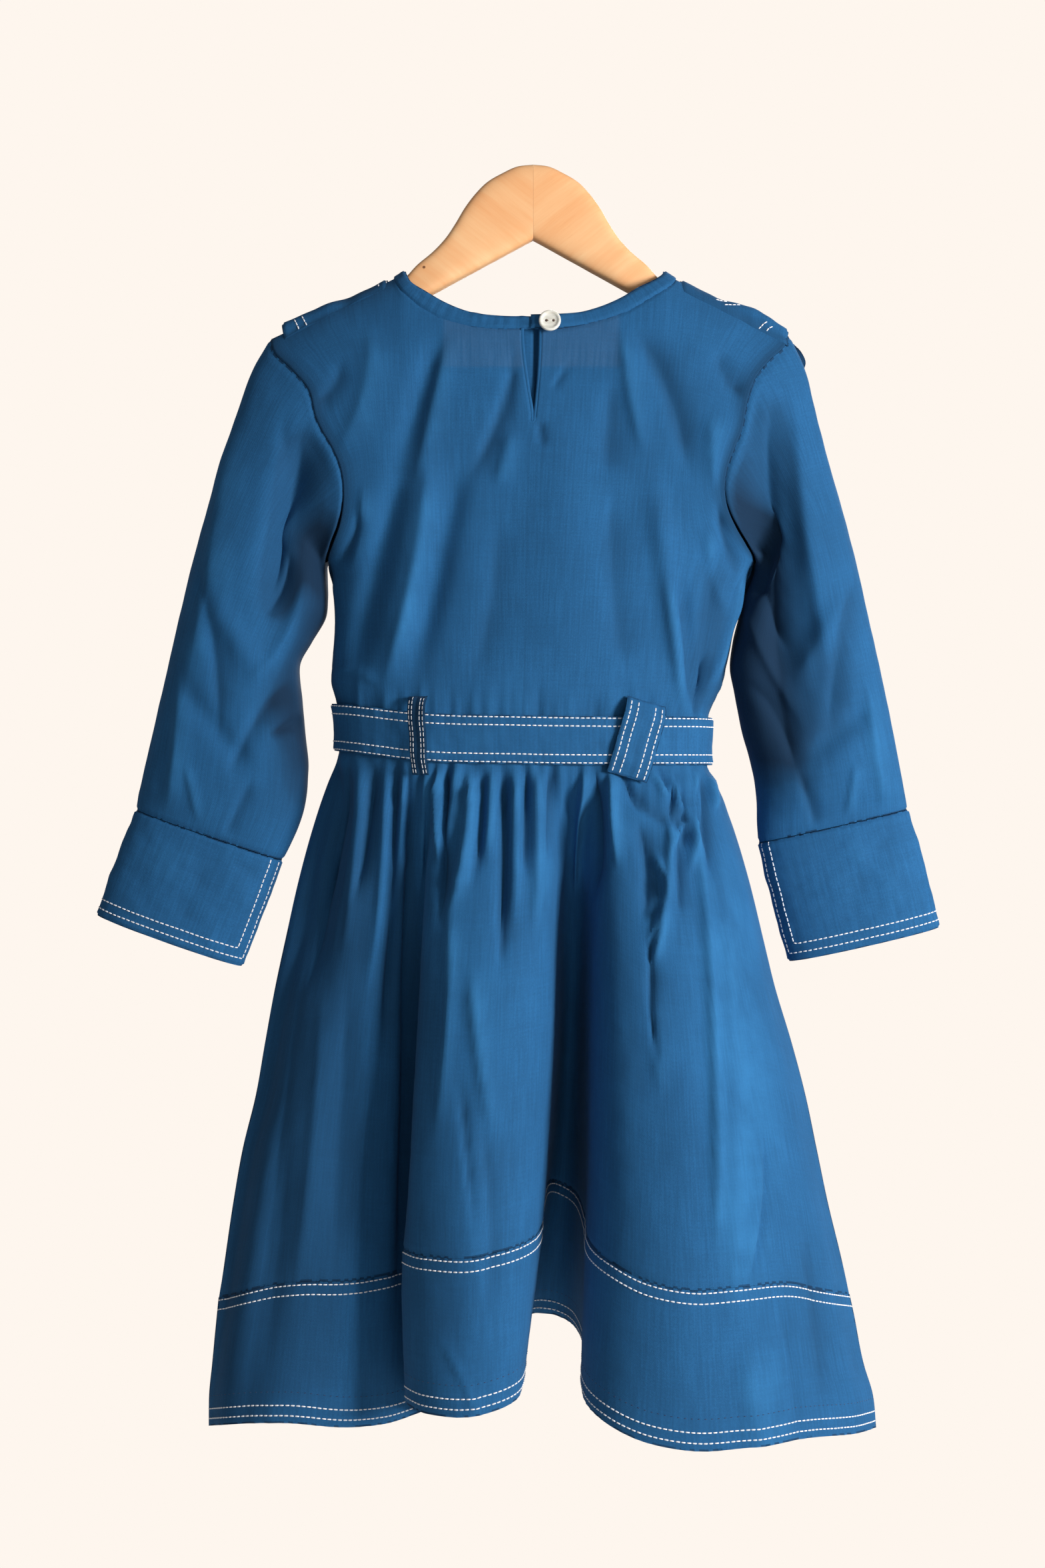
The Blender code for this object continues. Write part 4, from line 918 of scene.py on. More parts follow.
def bodice_flat(seam):
    """A bodice panel's points across and up, between its four edges."""
    shares = bodice_columns()
    edges = np.array([row[1:] for row in EDGES], float)
    left, right = edges[:, :2], edges[:, 2:]
    top = bodice_top(seam)
    foot_x = left[0, 0] + (right[0, 0] - left[0, 0]) * shares
    foot = np.stack([foot_x, waist_height(foot_x)], axis=1)
    up = ((left[:, 1] - left[0, 1]) / (left[-1, 1] - left[0, 1]))[:, None, None]
    over = shares[None, :, None]
    flat = (1 - up) * foot[None] + up * top[None]
    near_left, near_right = 1 - ramp(over, 0, EDGE_REACH), ramp(over, 1 - EDGE_REACH, 1)
    return flat + near_left * (left[:, None] - flat[:, :1]) + near_right * (right[:, None] - flat[:, -1:])


def narrow_slit(flat):
    """The two columns beside the slit close on each other from the neck down to its foot."""
    left = len(SHOULDER_SHARES) - 1 + NECK_LEFT
    right = left + 1
    middle = (flat[:, left, 0] + flat[:, right, 0]) / 2
    middle = middle + (0 - middle) * ramp(flat[:, left, 1], -175, -150)
    near = ramp(flat[:, left, 1], SLIT_FOOT, SLIT_TOP)
    width = SLIT_WIDE * (SLIT_CLOSED + (1 - SLIT_CLOSED) * near**0.55)
    flat[:, left, 0] = middle - width / 2 - SLIT_LEAN * near
    flat[:, right, 0] = middle + width / 2 - SLIT_LEAN * near
    return flat, left


def on_body(flat, side, table=()):
    """Points across and up, set on the body's cloth with a table of folds."""
    across, height = flat[..., 0], flat[..., 1]
    y = body_back(across, height, side)
    edge = ramp(np.abs(y), 2, 14)
    near_waist = ramp(height - waist_height(across), 15, 32)
    y = y + side * folds(across, height, table) * edge * near_waist
    return np.stack([across, y, height], axis=-1)


def fine_bodice(side, seam, table):
    """A bodice panel's fine points, and the coarse row and column at which each of them stands."""
    flat = bodice_flat(seam)
    slit = None
    if side < 0:
        flat, slit = narrow_slit(flat)
    stations = run_along(flat[:, 0])
    where = np.concatenate(spaced(stations, BODICE_ROW) + [stations[-1:]])
    rows = np.interp(where, stations, np.arange(len(stations)))
    flat = smooth_at(where, stations, flat)
    solid = on_body(flat, side, table)
    solid, columns = finer_columns(solid, FINE, read=straight_at)
    flat = solid[..., [0, 2]]
    return on_body(flat, side, table), rows, columns, slit


def seam_distance(grid):
    """How far each point lies from the nearer side of its panel, and from the panel's foot and top."""
    up = cloth_places(grid)[1]
    across = np.linalg.norm(np.diff(grid[..., :3], axis=1), axis=-1)
    over = np.concatenate([np.zeros((len(grid), 1)), np.cumsum(across, axis=1)], axis=1)
    return np.minimum(over, over[:, -1:] - over), up, up[-1:] - up


def bodice_creases(grid, table, seed):
    """How far the creases, gathers and puckers of a bodice panel lift it."""
    x, z = grid[..., 0], grid[..., 2]
    sides, foot, top = seam_distance(grid)
    creases = DEEPER * folds(x, z, table, SOFT)
    creases += 0.3 * waves(x, z, 46, seed) + 0.05 * waves(x, z, 15, seed + 1)
    draw = np.random.default_rng(seed + 2)
    for place in np.arange(-100, 98, 7.5):
        at = place + draw.uniform(-2.5, 2.5)
        long, high = draw.uniform(9, 26), draw.uniform(0.5, 1.2)
        near = 1 - ramp(z - waist_height(x), 14, 14 + long)
        creases += high * draw.choice((-1, 1)) * near * np.exp(-(((x - at) / draw.uniform(1.8, 3)) ** 2))
    creases *= ramp(sides, 0.5, 9) * ramp(top, 0.5, 12) * ramp(foot, 0, 4)
    seams = puckers(z, sides, seed + 3, reach=5, high=0.05) + puckers(x, top, seed + 4, reach=5, high=0.1)
    # The crests, with painted shade beside the side seams taken off them.
    crests_and_side_shade = np.maximum(creases, -CREST_HIGH) - SIDE_SHADE * np.exp(-((sides / SIDE_SHADE_WIDE) ** 2))
    return creases, seams * ramp(sides, 0, 2) * ramp(top, 0, 2), crests_and_side_shade


def make_bodice():
    """The two bodice panels, and the armholes that the sleeves take up."""
    made = {}
    for name, side, seam, coarse, fine, seed in (
        ("bodice_back", -1, BACK_SEAM, BACK_FOLDS, BACK_CREASES, 11),
        ("bodice_front", 1, FRONT_SEAM, (), FRONT_CREASES, 23),
    ):
        grid, rows, columns, slit = fine_bodice(side, seam, coarse)
        creases, seams, crests_and_side_shade = bodice_creases(grid, fine, seed)
        if side < 0:
            near_slit = np.abs(grid[..., 0] + 1) - 6
            creases *= 1 - 0.9 * ramp(grid[..., 2], -158, -150) * (1 - ramp(near_slit, 0, 6))
            over_facing = ramp(grid[..., 2], -132, -124) * ramp(58 - np.abs(grid[..., 0]), 0, 6)
            creases = np.maximum(creases, -0.5 * over_facing - 9 * (1 - over_facing))
        order = -side
        points = pushed(grid[:, ::order], (creases + seams)[:, ::order])
        cut = None
        if side < 0:
            near = (columns[:-1] > slit - 0.01) & (columns[:-1] < slit + 0.99)
            cut = (rows[:-1, None] > SLIT_ROW - 0.01) & near[None]
        channels = with_channels(points, crests_and_side_shade[:, ::order])
        obj, top = wall(name, channels, cut=cut, dips=(0, 0.6, 1, 1))
        made[name] = (obj, top, grid, rows, columns, slit)
    back, front = made["bodice_back"], made["bodice_front"]
    foot = int(np.searchsorted(back[3], UNDERARM_ROW - 1e-6))
    holes = []
    for column in (0, -1):
        down = back[2][foot:, column][::-1]
        holes.append(np.concatenate([down, front[2][foot + 1 : -1, column]]))
    return made, holes


def neck_line(back, front):
    """A line of the neck as (across, height, side) rows: from the slit's right side round the front to the
    slit's left side."""
    right = [(x, z, -1) for x, z in back[NECK_LEFT + 1 : -1]] + [(*back[-1], 0)]
    round_front = [(x, z, 1) for x, z in front[-2:0:-1]]
    return right + round_front + [(*back[0], 0)] + [(x, z, -1) for x, z in back[1 : NECK_LEFT + 1]]


def make_neck():
    """The bound edge of the neck, its right end lying over its left end under the button."""
    seam = np.array(neck_line(BACK_SEAM, FRONT_SEAM) + list(BAND_UNDER[0]), float)
    edge = np.array(neck_line(BACK_EDGE, FRONT_EDGE) + list(BAND_UNDER[1]), float)
    seam[0, 0] = edge[0, 0] = OVERLAP_FROM
    rows = []
    for share in np.linspace(BAND_FROM, 1, BAND_ROWS):
        across, height, side = (seam * (1 - share) + edge * share).T
        y = body_back(across, height, np.where(side < 0, -1, 1)) * np.abs(side)
        rows.append(np.stack([across, y, height], axis=1))
    grid, places = finer_columns(np.array(rows), SMALL)
    over = (1 - ramp(grid[..., 0], 12, 30)) * (places < len(seam) / 4)[None]
    u, v = cloth_places(grid)
    crown = np.sin(math.pi * np.linspace(0, 1, BAND_ROWS))[:, None] ** 0.7
    pucker = puckers(u, v * 0, 41, high=0.16) + 0.12 * waves(u, v * 2, 9, 42)
    crinkle = folds(grid[..., 0], grid[..., 2], NECK_CREASES) * (grid[..., 1] < 0)
    lift = over * (DOUBLE + GAP) + 0.2 * crown + pucker * crown + crinkle
    obj, _ = wall("neck_band", with_channels(pushed(grid, lift), crinkle + pucker), thick=BAND_THICK)
    return obj


def make_slit_binding(bodice):
    """The narrow fold of cloth that edges the slit, and the stitched foot where it ends."""
    grid, rows, columns, slit = bodice[2:]
    foot = int(np.searchsorted(rows, SLIT_ROW - 1e-6))
    left = int(np.searchsorted(columns, slit - 1e-6))
    right = int(np.searchsorted(columns, slit + 1 - 1e-6))
    down = grid[foot:, left][::-1]
    up = grid[foot:, right]
    turn = (down[-1:] + up[:1]) / 2 + [[0, 0, -1.3]]
    path = np.concatenate([down, turn, up])
    binding = strip("slit_binding", path, wide=2.2, thick=1.3, out=(0, -1, 0))
    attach(binding, "root")


def make_placket():
    """The underlap inside the slit: a lighter strip at its left, and cloth set deeper behind the gap."""
    left, right, foot, top = PLACKET
    x, z = np.meshgrid(np.linspace(left, right, 19), np.linspace(foot, top, 42))
    deep = PLACKET_IN + PLACKET_GAP * ramp(x, -0.6, 1.4) + 0.3 * ramp(x, -4, -8)
    y = body_back(x, z, -1) + deep
    wall("slit_placket", with_channels(np.stack([x, y, z], axis=-1)))


def strip(name, path, wide, thick, out):
    """A narrow rounded band of cloth along a path."""
    run = run_along(path)
    where = np.linspace(0, run[-1], max(8, round(run[-1] / 0.9)))
    line = np.stack([np.interp(where, run, path[:, i]) for i in range(3)], axis=1)
    along = unit(np.gradient(line, axis=0))
    side = unit(np.cross(along, np.array(out, float)))
    up = np.cross(side, along)
    turns = 2 * math.pi * np.arange(12) / 12
    reach = side[:, None] * (np.cos(turns)[None, :, None] * wide / 2)
    reach = reach + up[:, None] * (np.sin(turns)[None, :, None] * thick / 2)
    return bar(name, line[:, None] + reach, CLOTH[0])


def bar(name, rings, look):
    """A solid bar through rings of points in millimetres, with closed ends and cloth places."""
    count, sides = rings.shape[:2]
    faces = [list(range(sides)), [(count - 1) * sides + i for i in reversed(range(sides))]]
    for ring in range(count - 1):
        for i in range(sides):
            j = (i + 1) % sides
            low, high = ring * sides, (ring + 1) * sides
            faces.append([low + j, low + i, high + i, high + j])
    mesh = bpy.data.meshes.new(name)
    points = rings.reshape(-1, 3)
    corners = points[np.array(faces[2])]
    out = np.cross(corners[1] - corners[0], corners[2] - corners[0])
    if out @ (corners[0] - rings[0].mean(axis=0)) < 0:
        faces = [face[::-1] for face in faces]
    mesh.from_pydata((points * MM).tolist(), [], faces)
    mesh.polygons.foreach_set("use_smooth", np.array([len(face) < 5 for face in faces]))
    layer = mesh.uv_layers.new(name="cloth")
    index = np.empty(len(mesh.loops), np.int32)
    mesh.loops.foreach_get("vertex_index", index)
    layer.data.foreach_set("uv", (points[index][:, [0, 2]] * MM).reshape(-1))
    mesh.attributes.new("crest", "FLOAT", "POINT")
    return placed(name, mesh, look)


def tube(table, share, stand):
    """Rings of points, at shares of the way from the table's outer edge (1) to its inner edge (-1)."""
    centre, reach = (table[:, :2] + table[:, 2:4]) / 2, (table[:, :2] - table[:, 2:4]) / 2
    flat = centre[:, None] + reach[:, None] * share[None, :, None]
    return np.stack([flat[..., 0], table[:, 4:5] * stand[None], flat[..., 1]], axis=-1)


def fine_table(table, spacing):
    """A sleeve's table read finely, and the ring at which each row stands."""
    table = np.array(table, float)
    stations = run_along((table[:, :2] + table[:, 2:4]) / 2)
    where = np.linspace(0, stations[-1], math.ceil(stations[-1] / spacing) + 1)
    return smooth_at(where, stations, table), np.interp(where, stations, np.arange(len(stations)))


def make_sleeve(name, side, table, cuff, hole, bends, creases, seed):
    """A tube from the armhole to the cuff, and the cuff."""
    rows, ring = fine_table(table, FINE)
    middle, reach = (rows[0, :2] + rows[0, 2:4]) / 2, (rows[0, :2] - rows[0, 2:4]) / 2
    share = (hole[:, [0, 2]] - middle) @ reach / (reach @ reach)
    share[0], share[len(hole) // 2] = 1, -1
    stand = np.sign(hole[:, 1]) * oval(share, SLEEVE_ROUNDNESS)
    low = 1 - ramp(share, -1, -0.4)
    hole = hole + np.array([side * ARMPIT_GAP, 0, 0]) * low[:, None]
    rings = tube(rows, share, stand)
    ring = ring[:, None]
    fade = 1 - ramp(ring / (ARMPIT_RINGS + (ARMHOLE_RINGS - ARMPIT_RINGS) * ramp(share, -0.9, 0.4)), 0, 1)
    rings += (hole - rings[0]) * fade[..., None]
    face = np.sign(rings[..., 1]) * ramp(np.abs(rings[..., 1]), 3, 16)
    free = ramp(ring, 2, 5) * (1 - ramp(ring, len(table) - 3, len(table) - 1))
    rings[..., 1] += face * folds(rings[..., 0], rings[..., 2], bends) * free
    order = -1 if side > 0 else 1
    rings = rings[::-1, ::order]
    grid, places = finer_columns(rings, FINE, ring=True)
    turned = share[::order]
    inner = np.interp(places, np.arange(len(turned) + 1), np.append(turned, turned[0]))
    inner = 1 - ramp(inner, -0.95, INNER_REACH[name])
    u, v = cloth_places(grid)
    x, z = grid[..., 0], grid[..., 2]
    front = grid[..., 1] > 0
    soft = ramp(np.abs(grid[..., 1]), 2, 12)
    drawn = DEEPER * folds(x, z, creases, SOFT) * np.where(front, -0.8, 1) * soft
    drawn += 0.25 * waves(x, z, 42, seed) * soft + 0.06 * waves(u, v, 14, seed + 1)
    foot, top = v, v[-1:] - v
    drawn *= ramp(foot, 0.5, 8) * ramp(top, 0.5, 10)
    seams = puckers(u, top, seed + 2, reach=6, high=0.05) + puckers(u, foot, seed + 3, reach=6, high=0.1)
    points = pushed(grid, drawn + seams * ramp(top, 0, 2), ring=True)
    # Painted shade on the side of the sleeve by the body.
    shaded = np.maximum(drawn, -CREST_HIGH) - INNER_SHADE * inner * ramp(foot, 0, 60)
    obj, _ = wall(f"sleeve_{name}", with_channels(points, shaded), ring=True, dips=(1, 1, 0, 0))
    return obj, make_cuff(name, order, share, stand, cuff, seed + 5)


def make_cuff(name, order, share, stand, table, seed):
    rows, _ = fine_table(table, CUFF_FINE)
    even = tube(rows, share, stand)[::-1, ::order]
    grid, _ = finer_columns(even, CUFF_FINE, ring=True)
    x, z = grid[..., 0], grid[..., 2]
    u, v = cloth_places(grid)
    drawn = folds(x, z, CUFF_CREASES) * np.sign(-grid[..., 1]) * ramp(np.abs(grid[..., 1]), 2, 9)
    drawn += 0.2 * waves(x, z, 21, seed) + 0.1 * waves(u, v, 9, seed + 1)
    top = v[-1:] - v
    drawn = drawn * ramp(top, 0, 6) + puckers(u, top, seed + 2, reach=5, high=0.08)
    points = pushed(grid, drawn, ring=True)
    channels = with_channels(points, drawn * 1.5)
    return wall(f"cuff_{name}", channels, thick=DOUBLE, lift=0.25, ring=True, dips=(0, 0.5, 0, 0))


def cuff_lines(surface, name):
    """The stitch lines of a cuff: up its inner edge at the back, along its foot and up again in front."""
    lines = []
    top = surface.top
    count, across = top.shape[:2]
    up = run_along(top.mean(axis=1))
    around = run_along(np.concatenate([top[count // 2], top[count // 2, :1]]))
    inner = np.argmax(top[count // 2, :, 0]) if name == "left" else np.argmin(top[count // 2, :, 0])
    for distance in CUFF_LINES:
        row = np.interp(distance, up, np.arange(count))
        start, total = around[inner] + distance, around[-1]
        places = np.arange(0, total - 2 * distance, 1.0) + start
        columns = np.interp(places % total, around, np.arange(across + 1)) % across
        climb = np.arange(count - 1, row, -1.0)
        rows = np.concatenate([climb, np.full(len(columns), row), climb[::-1]])
        columns = np.pad(columns, len(climb), mode="edge")
        lines.append(wrapped(surface, rows, columns))
    return lines


def wrapped(surface, rows, columns):
    """Points and normals on a ring, whose last column joins its first."""
    closed = Surface(
        np.concatenate([surface.top, surface.top[:, :1]], axis=1),
        np.concatenate([surface.out, surface.out[:, :1]], axis=1),
    )
    return closed.at(rows, columns)


def skirt_grid(table, side, steps, height_shares):
    """The skirt's points from the waist seam to the hem, top row first, and each point's share of the way."""
    values = np.array([row[1:] for row in table], float)
    columns = np.linspace(0, len(table) - 1, steps * (len(table) - 1) + 1)
    waist_x, knee_x, knee_y, hem_x, hem_y, hem_z, band = smooth_at(columns, np.arange(len(table)), values).T
    waist_z = waist_height(waist_x)
    levels = np.stack(
        [
            np.stack([waist_x, body_back(waist_x, waist_z, side)], axis=1),
            np.stack([knee_x, knee_y], axis=1),
            np.stack([hem_x, hem_y], axis=1),
        ]
    )
    skirt_shares, band_shares = height_shares
    rows = [waist_z + (hem_z + band - waist_z) * share for share in skirt_shares]
    rows += [hem_z + band * (1 - share) for share in band_shares]
    height = np.array(rows)
    down = (waist_z - height) / (waist_z - hem_z)
    knee_down = (waist_z - KNEE_HEIGHT) / (waist_z - hem_z)
    flared = np.stack(
        [smooth_at(down[:, i], [0, knee_down[i], 1], levels[:, i]) for i in range(len(waist_x))], axis=1
    )
    leaves = ramp(down, BELT_SHARE, FLARE_SHARE)[..., None]
    flat = levels[0][None] + (flared - levels[0][None]) * leaves
    grid = np.concatenate([flat, height[..., None]], axis=-1)
    grid[..., 0] += side_shift(grid)
    return grid


def side_shift(grid):
    """How far the cloth moves across so that its first and last columns lie on the side seams."""
    table = np.array(sorted(SKIRT_SIDES))
    shift = np.zeros(grid.shape[:2])
    for column in (0, -1):
        edge = grid[:, column]
        side = 1 if edge[0, 0] < 0 else 2
        wanted = smooth_at(edge[:, 2], table[:, 0], table[:, side]) - edge[:, 0]
        shift += wanted[:, None] * (1 - ramp(np.abs(grid[..., 0] - edge[:, :1]), 0, SIDE_REACH))
    return shift


def front_gathers():
    """The gathers of the skirt's front, spaced and sized unevenly."""
    draw = np.random.default_rng(5)
    rows = []
    for i in range(FRONT_GATHERS):
        share = (i + 0.5 + draw.uniform(-0.3, 0.3)) / FRONT_GATHERS
        x = -106 + 200 * share
        z = -345 - draw.uniform(55, 130)
        high = draw.uniform(1.6, 3.0) * (-1 if i % 2 else 1)
        rows.append((x, -345, x * 1.12 + 1, z, draw.uniform(-2, 2), draw.uniform(2.8, 4.2), high))
    return tuple(rows)


def make_skirt():
    """The skirt and its border, back and front, as four panels of one gathered ring of cloth."""
    skirt_shares = np.linspace(0, 1, SKIRT_FINE_ROWS)
    band_shares = np.linspace(0, 1, BAND_FINE_ROWS)[1:]
    shares = (skirt_shares, band_shares)
    back = skirt_grid(SKIRT_BACK, -1, BACK_FINE_STEPS, shares)
    front = skirt_grid(SKIRT_FRONT, 1, FRONT_FINE_STEPS, shares)
    creases = []
    for grid, table, seed in ((back, SKIRT_CREASES, 61), (front, front_gathers() + FRONT_LONG_CREASES, 71)):
        x, z = grid[..., 0], grid[..., 2]
        sides, _, _ = seam_distance(grid[::-1])
        sides = sides[::-1]
        drawn = DEEPER * folds(x, z, table, PRESSED)
        drawn += GATHERED * folds(x, z, [row for row in table if row[1] > GATHERS_END], PRESSED)
        u, v = cloth_places(grid[::-1])
        drawn += 0.45 * waves(x, z * 0.45, 44, seed) + 0.06 * waves(u, v, 14, seed + 1)
        falling = ramp(waist_height(x) - z, 12, 26)
        near_belt = waves(x, 0 * x, 8.5, seed + 2) * (1 - ramp(waist_height(x) - z, 30, 52)) * 0.7
        drawn = drawn * falling + near_belt * ramp(waist_height(x) - z, 4, 18)
        creases.append(drawn * ramp(sides, 0.5, 10))
    grid = np.concatenate([back[:, :-1], front[:, :-1]], axis=1)[::-1]
    crest = np.concatenate([creases[0][:, :-1], creases[1][:, :-1]], axis=1)[::-1]
    u, v = cloth_places(grid)
    bands = BAND_FINE_ROWS - 1
    from_border = v - v[bands : bands + 1]
    seams = puckers(u, from_border, 81, reach=7, high=0.3) + puckers(u, v, 82, reach=8, high=0.22)
    points = pushed(grid, crest + seams, ring=True)
    channels = with_channels(points, np.maximum(crest, -CREST_HIGH))
    side = back.shape[1] - 1
    total = grid.shape[1]
    made = {}
    for name, columns in (("back", np.arange(side + 1)), ("front", np.arange(side, total + 1))):
        for piece, rows, lift, dips in (
            ("skirt", slice(bands, None), 0.0, (1, 0.5, 0.8, 0.8)),
            ("hem", slice(0, bands + 1), 0.3, (0, 0, 0.8, 0.8)),
        ):
            part = channels[rows][:, columns % total].copy()
            if columns[-1] >= total:
                part[:, -1, 3] = part[:, -2, 3] + 2
            made[f"{piece}_{name}"] = wall(f"{piece}_{name}", part, lift=lift, dips=dips)
    return made


def belt_line(turns, share, lift):
    """Points round the body at shares of a turn, at a share of the belt's width over its middle."""
    angle = 2 * math.pi * turns
    around = np.sign(np.cos(angle)) * np.abs(np.cos(angle)) ** (2 / ROUNDNESS)
    deep = np.sign(np.sin(angle)) * np.abs(np.sin(angle)) ** (2 / ROUNDNESS)
    height = waist_height(110 * around) + share * BELT_WIDE
    left, right, back, front = body_sides(height).T
    x = (left + right) / 2 + ((right - left) / 2 + lift) * around
    y = (np.where(deep < 0, back, front) + lift) * deep
    return np.stack([x, y, height], axis=1)


def make_belt():
    turns = np.linspace(0.25 - BELT_OVERLAP, 1.25, 4 * BELT_COLUMNS)
    lift = CAD_WALL / 2 + BELT_GAP + CAD_DOUBLE / 2
    lift = lift + (CAD_DOUBLE + GAP) * (1 - ramp(turns, 0.25, 0.32))
    grid = np.array([belt_line(turns, share, lift) for share in np.linspace(-0.5, 0.5, 19)])
    grid, _ = finer_columns(grid, BELT_FINE)
    u, v = cloth_places(grid)
    x, z = grid[..., 0], grid[..., 2]
    drawn = 0.28 * waves(u, v, 26, 91) + 0.1 * waves(u, v, 9, 92) + folds(x, z, BELT_CREASES)
    edge = np.minimum(v, v[-1:] - v)
    drawn = drawn + puckers(u, edge, 93, reach=5, high=0.16)
    channels = with_channels(pushed(grid, drawn), drawn * 1.6)
    return wall("belt", channels, thick=DOUBLE)


def flap_grid(side):
    """A flap's points: from the seam behind the shoulder, over the shoulder line and down the front."""
    tip, neck = (EDGES[-1][1], BACK_SEAM[0][0]) if side < 0 else (EDGES[-1][3], BACK_SEAM[-1][0])
    shares, stands = np.array(FLAP_COLUMNS[side]).T
    where = np.linspace(0, 1, FLAP_FINE)
    stands = smooth_at(where, np.linspace(0, 1, len(shares)), stands)
    shares = smooth_at(where, np.linspace(0, 1, len(shares)), shares)
    across = tip + (neck - tip) * shares
    rows = []
    downs = (FLAP_BACK_REACH[side], *FLAP_ROWS[1:])
    for down in np.interp(np.linspace(0, 1, FLAP_FINE), np.linspace(0, 1, len(downs)), downs):
        height = ridge(across) - abs(down)
        y = body_back(across, height, -1 if down < 0 else 1)
        puff = stands * ramp(down, -7, 0) * (1 - ramp(down, 8, 26) * 0.6)
        past = FLAP_CORNER[side] * (1 - ramp(shares, 0, 0.4))
        past = past * ramp(down, 0, 14) * (1 - 0.5 * ramp(down, 14, 26))
        y = y + ramp(down, 1, 12) * puff
        rows.append(np.stack([across + side * past, y, height + puff * (1 - ramp(down, 8, 10))], axis=1))
    grid = np.array(rows)
    sunk = np.maximum(2.4 - 2.4 * ramp(where, 0.04, 0.22)[:, None], 2.0 * ramp(where, 0.35, 0.7)[None])
    return (grid[:, ::-1], sunk[:, ::-1]) if side > 0 else (grid, sunk)


def make_flap(name, side):
    grid, sunk = flap_grid(side)
    u, v = cloth_places(grid)
    drawn = 0.3 * waves(u, v, 17, 101 + side) - sunk
    lift = (CAD_WALL + CAD_DOUBLE) / 2 + FLAP_GAP
    return wall(f"flap_{name}", with_channels(pushed(grid, drawn), drawn), thick=DOUBLE, lift=lift)


def make_loop(name, corners, turn):
    """A short strip that stands over the belt from the bodice to the skirt."""
    top_left, top_right, foot_left, foot_right = (np.array(corner, float) for corner in corners)
    high = CAD_WALL / 2 + BELT_GAP + CAD_DOUBLE + LOOP_GAP + LOOP_THICK / 2
    seat = CAD_WALL / 2 + GAP + LOOP_THICK / 2
    share = np.linspace(0, 1, 25)[:, None]
    places, stands_at = np.array(LOOP_PROFILE).T
    rows, stands = [], []
    for down in np.linspace(0, 1, 49):
        stand = float(smooth_at(down, places, stands_at))
        left, right = top_left + (foot_left - top_left) * down, top_right + (foot_right - top_right) * down
        line = left + (right - left) * share
        rows.append(np.stack([line[:, 0], body_back(line[:, 0], line[:, 1], -1), line[:, 1]], axis=1))
        stands.append(seat + (high - seat + turn * share[:, 0]) * stand)
    grid = np.array(rows)[::-1]
    grid = pushed(grid, np.array(stands)[::-1])
    u, v = cloth_places(grid)
    drawn = 0.14 * waves(u, v, 11, 111) + 0.25 * np.cos(2 * math.pi * share[:, 0] * 3)[None] * 0.5
    shaded = drawn - LOOP_SHADE[name]
    return wall(name, with_channels(pushed(grid, drawn), shaded), thick=LOOP_THICK - 0.2)


def make_hanger():
    """Two halves mitred at the middle, each a round-edged bar along the hanger's arm."""
    table = np.array(HANGER, float)
    stations = run_along(table[:, :2])
    where = np.concatenate([[0, 0.08, 0.3], np.linspace(0.9, stations[-1], 94)])
    table = smooth_at(where, stations, table)
    angle = 2 * math.pi * (np.arange(HANGER_ROUND) + 0.5) / HANGER_ROUND
    up, out = (np.sign(f(angle)) * np.abs(f(angle)) ** 0.55 for f in (np.cos, np.sin))
    for name, side, stretch in (("left", -1, 1.0), ("right", 1, 0.975)):
        middle, half = (table[:, :2] + table[:, 2:4]) / 2, (table[:, :2] - table[:, 2:4]) / 2
        flat = middle[:, None] + half[:, None] * up[None, :, None]
        x = side * (MITRE_GAP / 2 - flat[..., 0] * stretch)
        rings = np.stack([x, table[:, 4:5] * out[None], flat[..., 1]], axis=-1)
        dressed(bar(f"hanger_arm_{name}", rings, WOOD_LOOKS[name]), f"hanger_{name}")


def make_button():
    """A two-hole button with a raised rim, sewn on with brown thread."""
    low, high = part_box("button")
    centre = (low + high) / 2
    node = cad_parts["button"]
    points = np.array([v.co for v in node.data.vertices])
    spread = points - points.mean(axis=0)
    axis = np.linalg.svd(spread, full_matrices=False)[2][2]
    axis = axis if axis[1] < 0 else -axis
    sides, profile = 72, BUTTON_PROFILE
    right = np.array([1.0, 0, 0])
    right = unit(right - axis * (right @ axis))
    up = np.cross(axis, right)
    rings = []
    for radius, stand in profile:
        turn = 2 * math.pi * np.arange(sides) / sides
        ring = np.array(centre) / MM + axis * stand
        rings.append(ring + (right * np.cos(turn)[:, None] + up * np.sin(turn)[:, None]) * radius)
    obj = bar("button_disc", np.array(rings), IVORY_LOOK)
    for side in (-1, 1):
        hole = bpy.data.meshes.new(f"hole_{side}")
        draft = bmesh.new()
        round_hole = {"radius1": BUTTON_HOLE * MM, "radius2": BUTTON_HOLE * MM, "depth": 8 * MM}
        bmesh.ops.create_cone(draft, cap_ends=True, segments=28, **round_hole)
        draft.to_mesh(hole)
        draft.free()
        cutter = placed(f"button_hole_{side}", hole)
        cutter.location = Vector(centre) + Vector(right * side * BUTTON_HOLES_APART / 2 * MM)
        cutter.rotation_mode = "QUATERNION"
        cutter.rotation_quaternion = Vector(axis).to_track_quat("Z", "Y")
        cut = obj.modifiers.new(f"hole {side}", "BOOLEAN")
        cut.object = cutter
        bpy.context.view_layer.update()
        apply(obj)
        bpy.data.objects.remove(cutter, do_unlink=True)
    dressed(obj, "button")
    middle = np.array(centre) / MM + axis * 0.35
    reach = right * BUTTON_HOLES_APART / 2
    strands = []
    for side in (-1, 1):
        for offset in (-0.3, 0.3):
            centre_line = middle + reach * side + up * offset
            line = np.array([centre_line - right * 0.95, centre_line + right * 0.95])
            strands.append((line, np.repeat(axis[None], 2, axis=0)))
    return strands


def apply(obj):
    """The object's mesh as its modifiers leave it."""
    graph = bpy.context.evaluated_depsgraph_get()
    done = bpy.data.meshes.new_from_object(obj.evaluated_get(graph))
    obj.modifiers.clear()
    obj.data = done


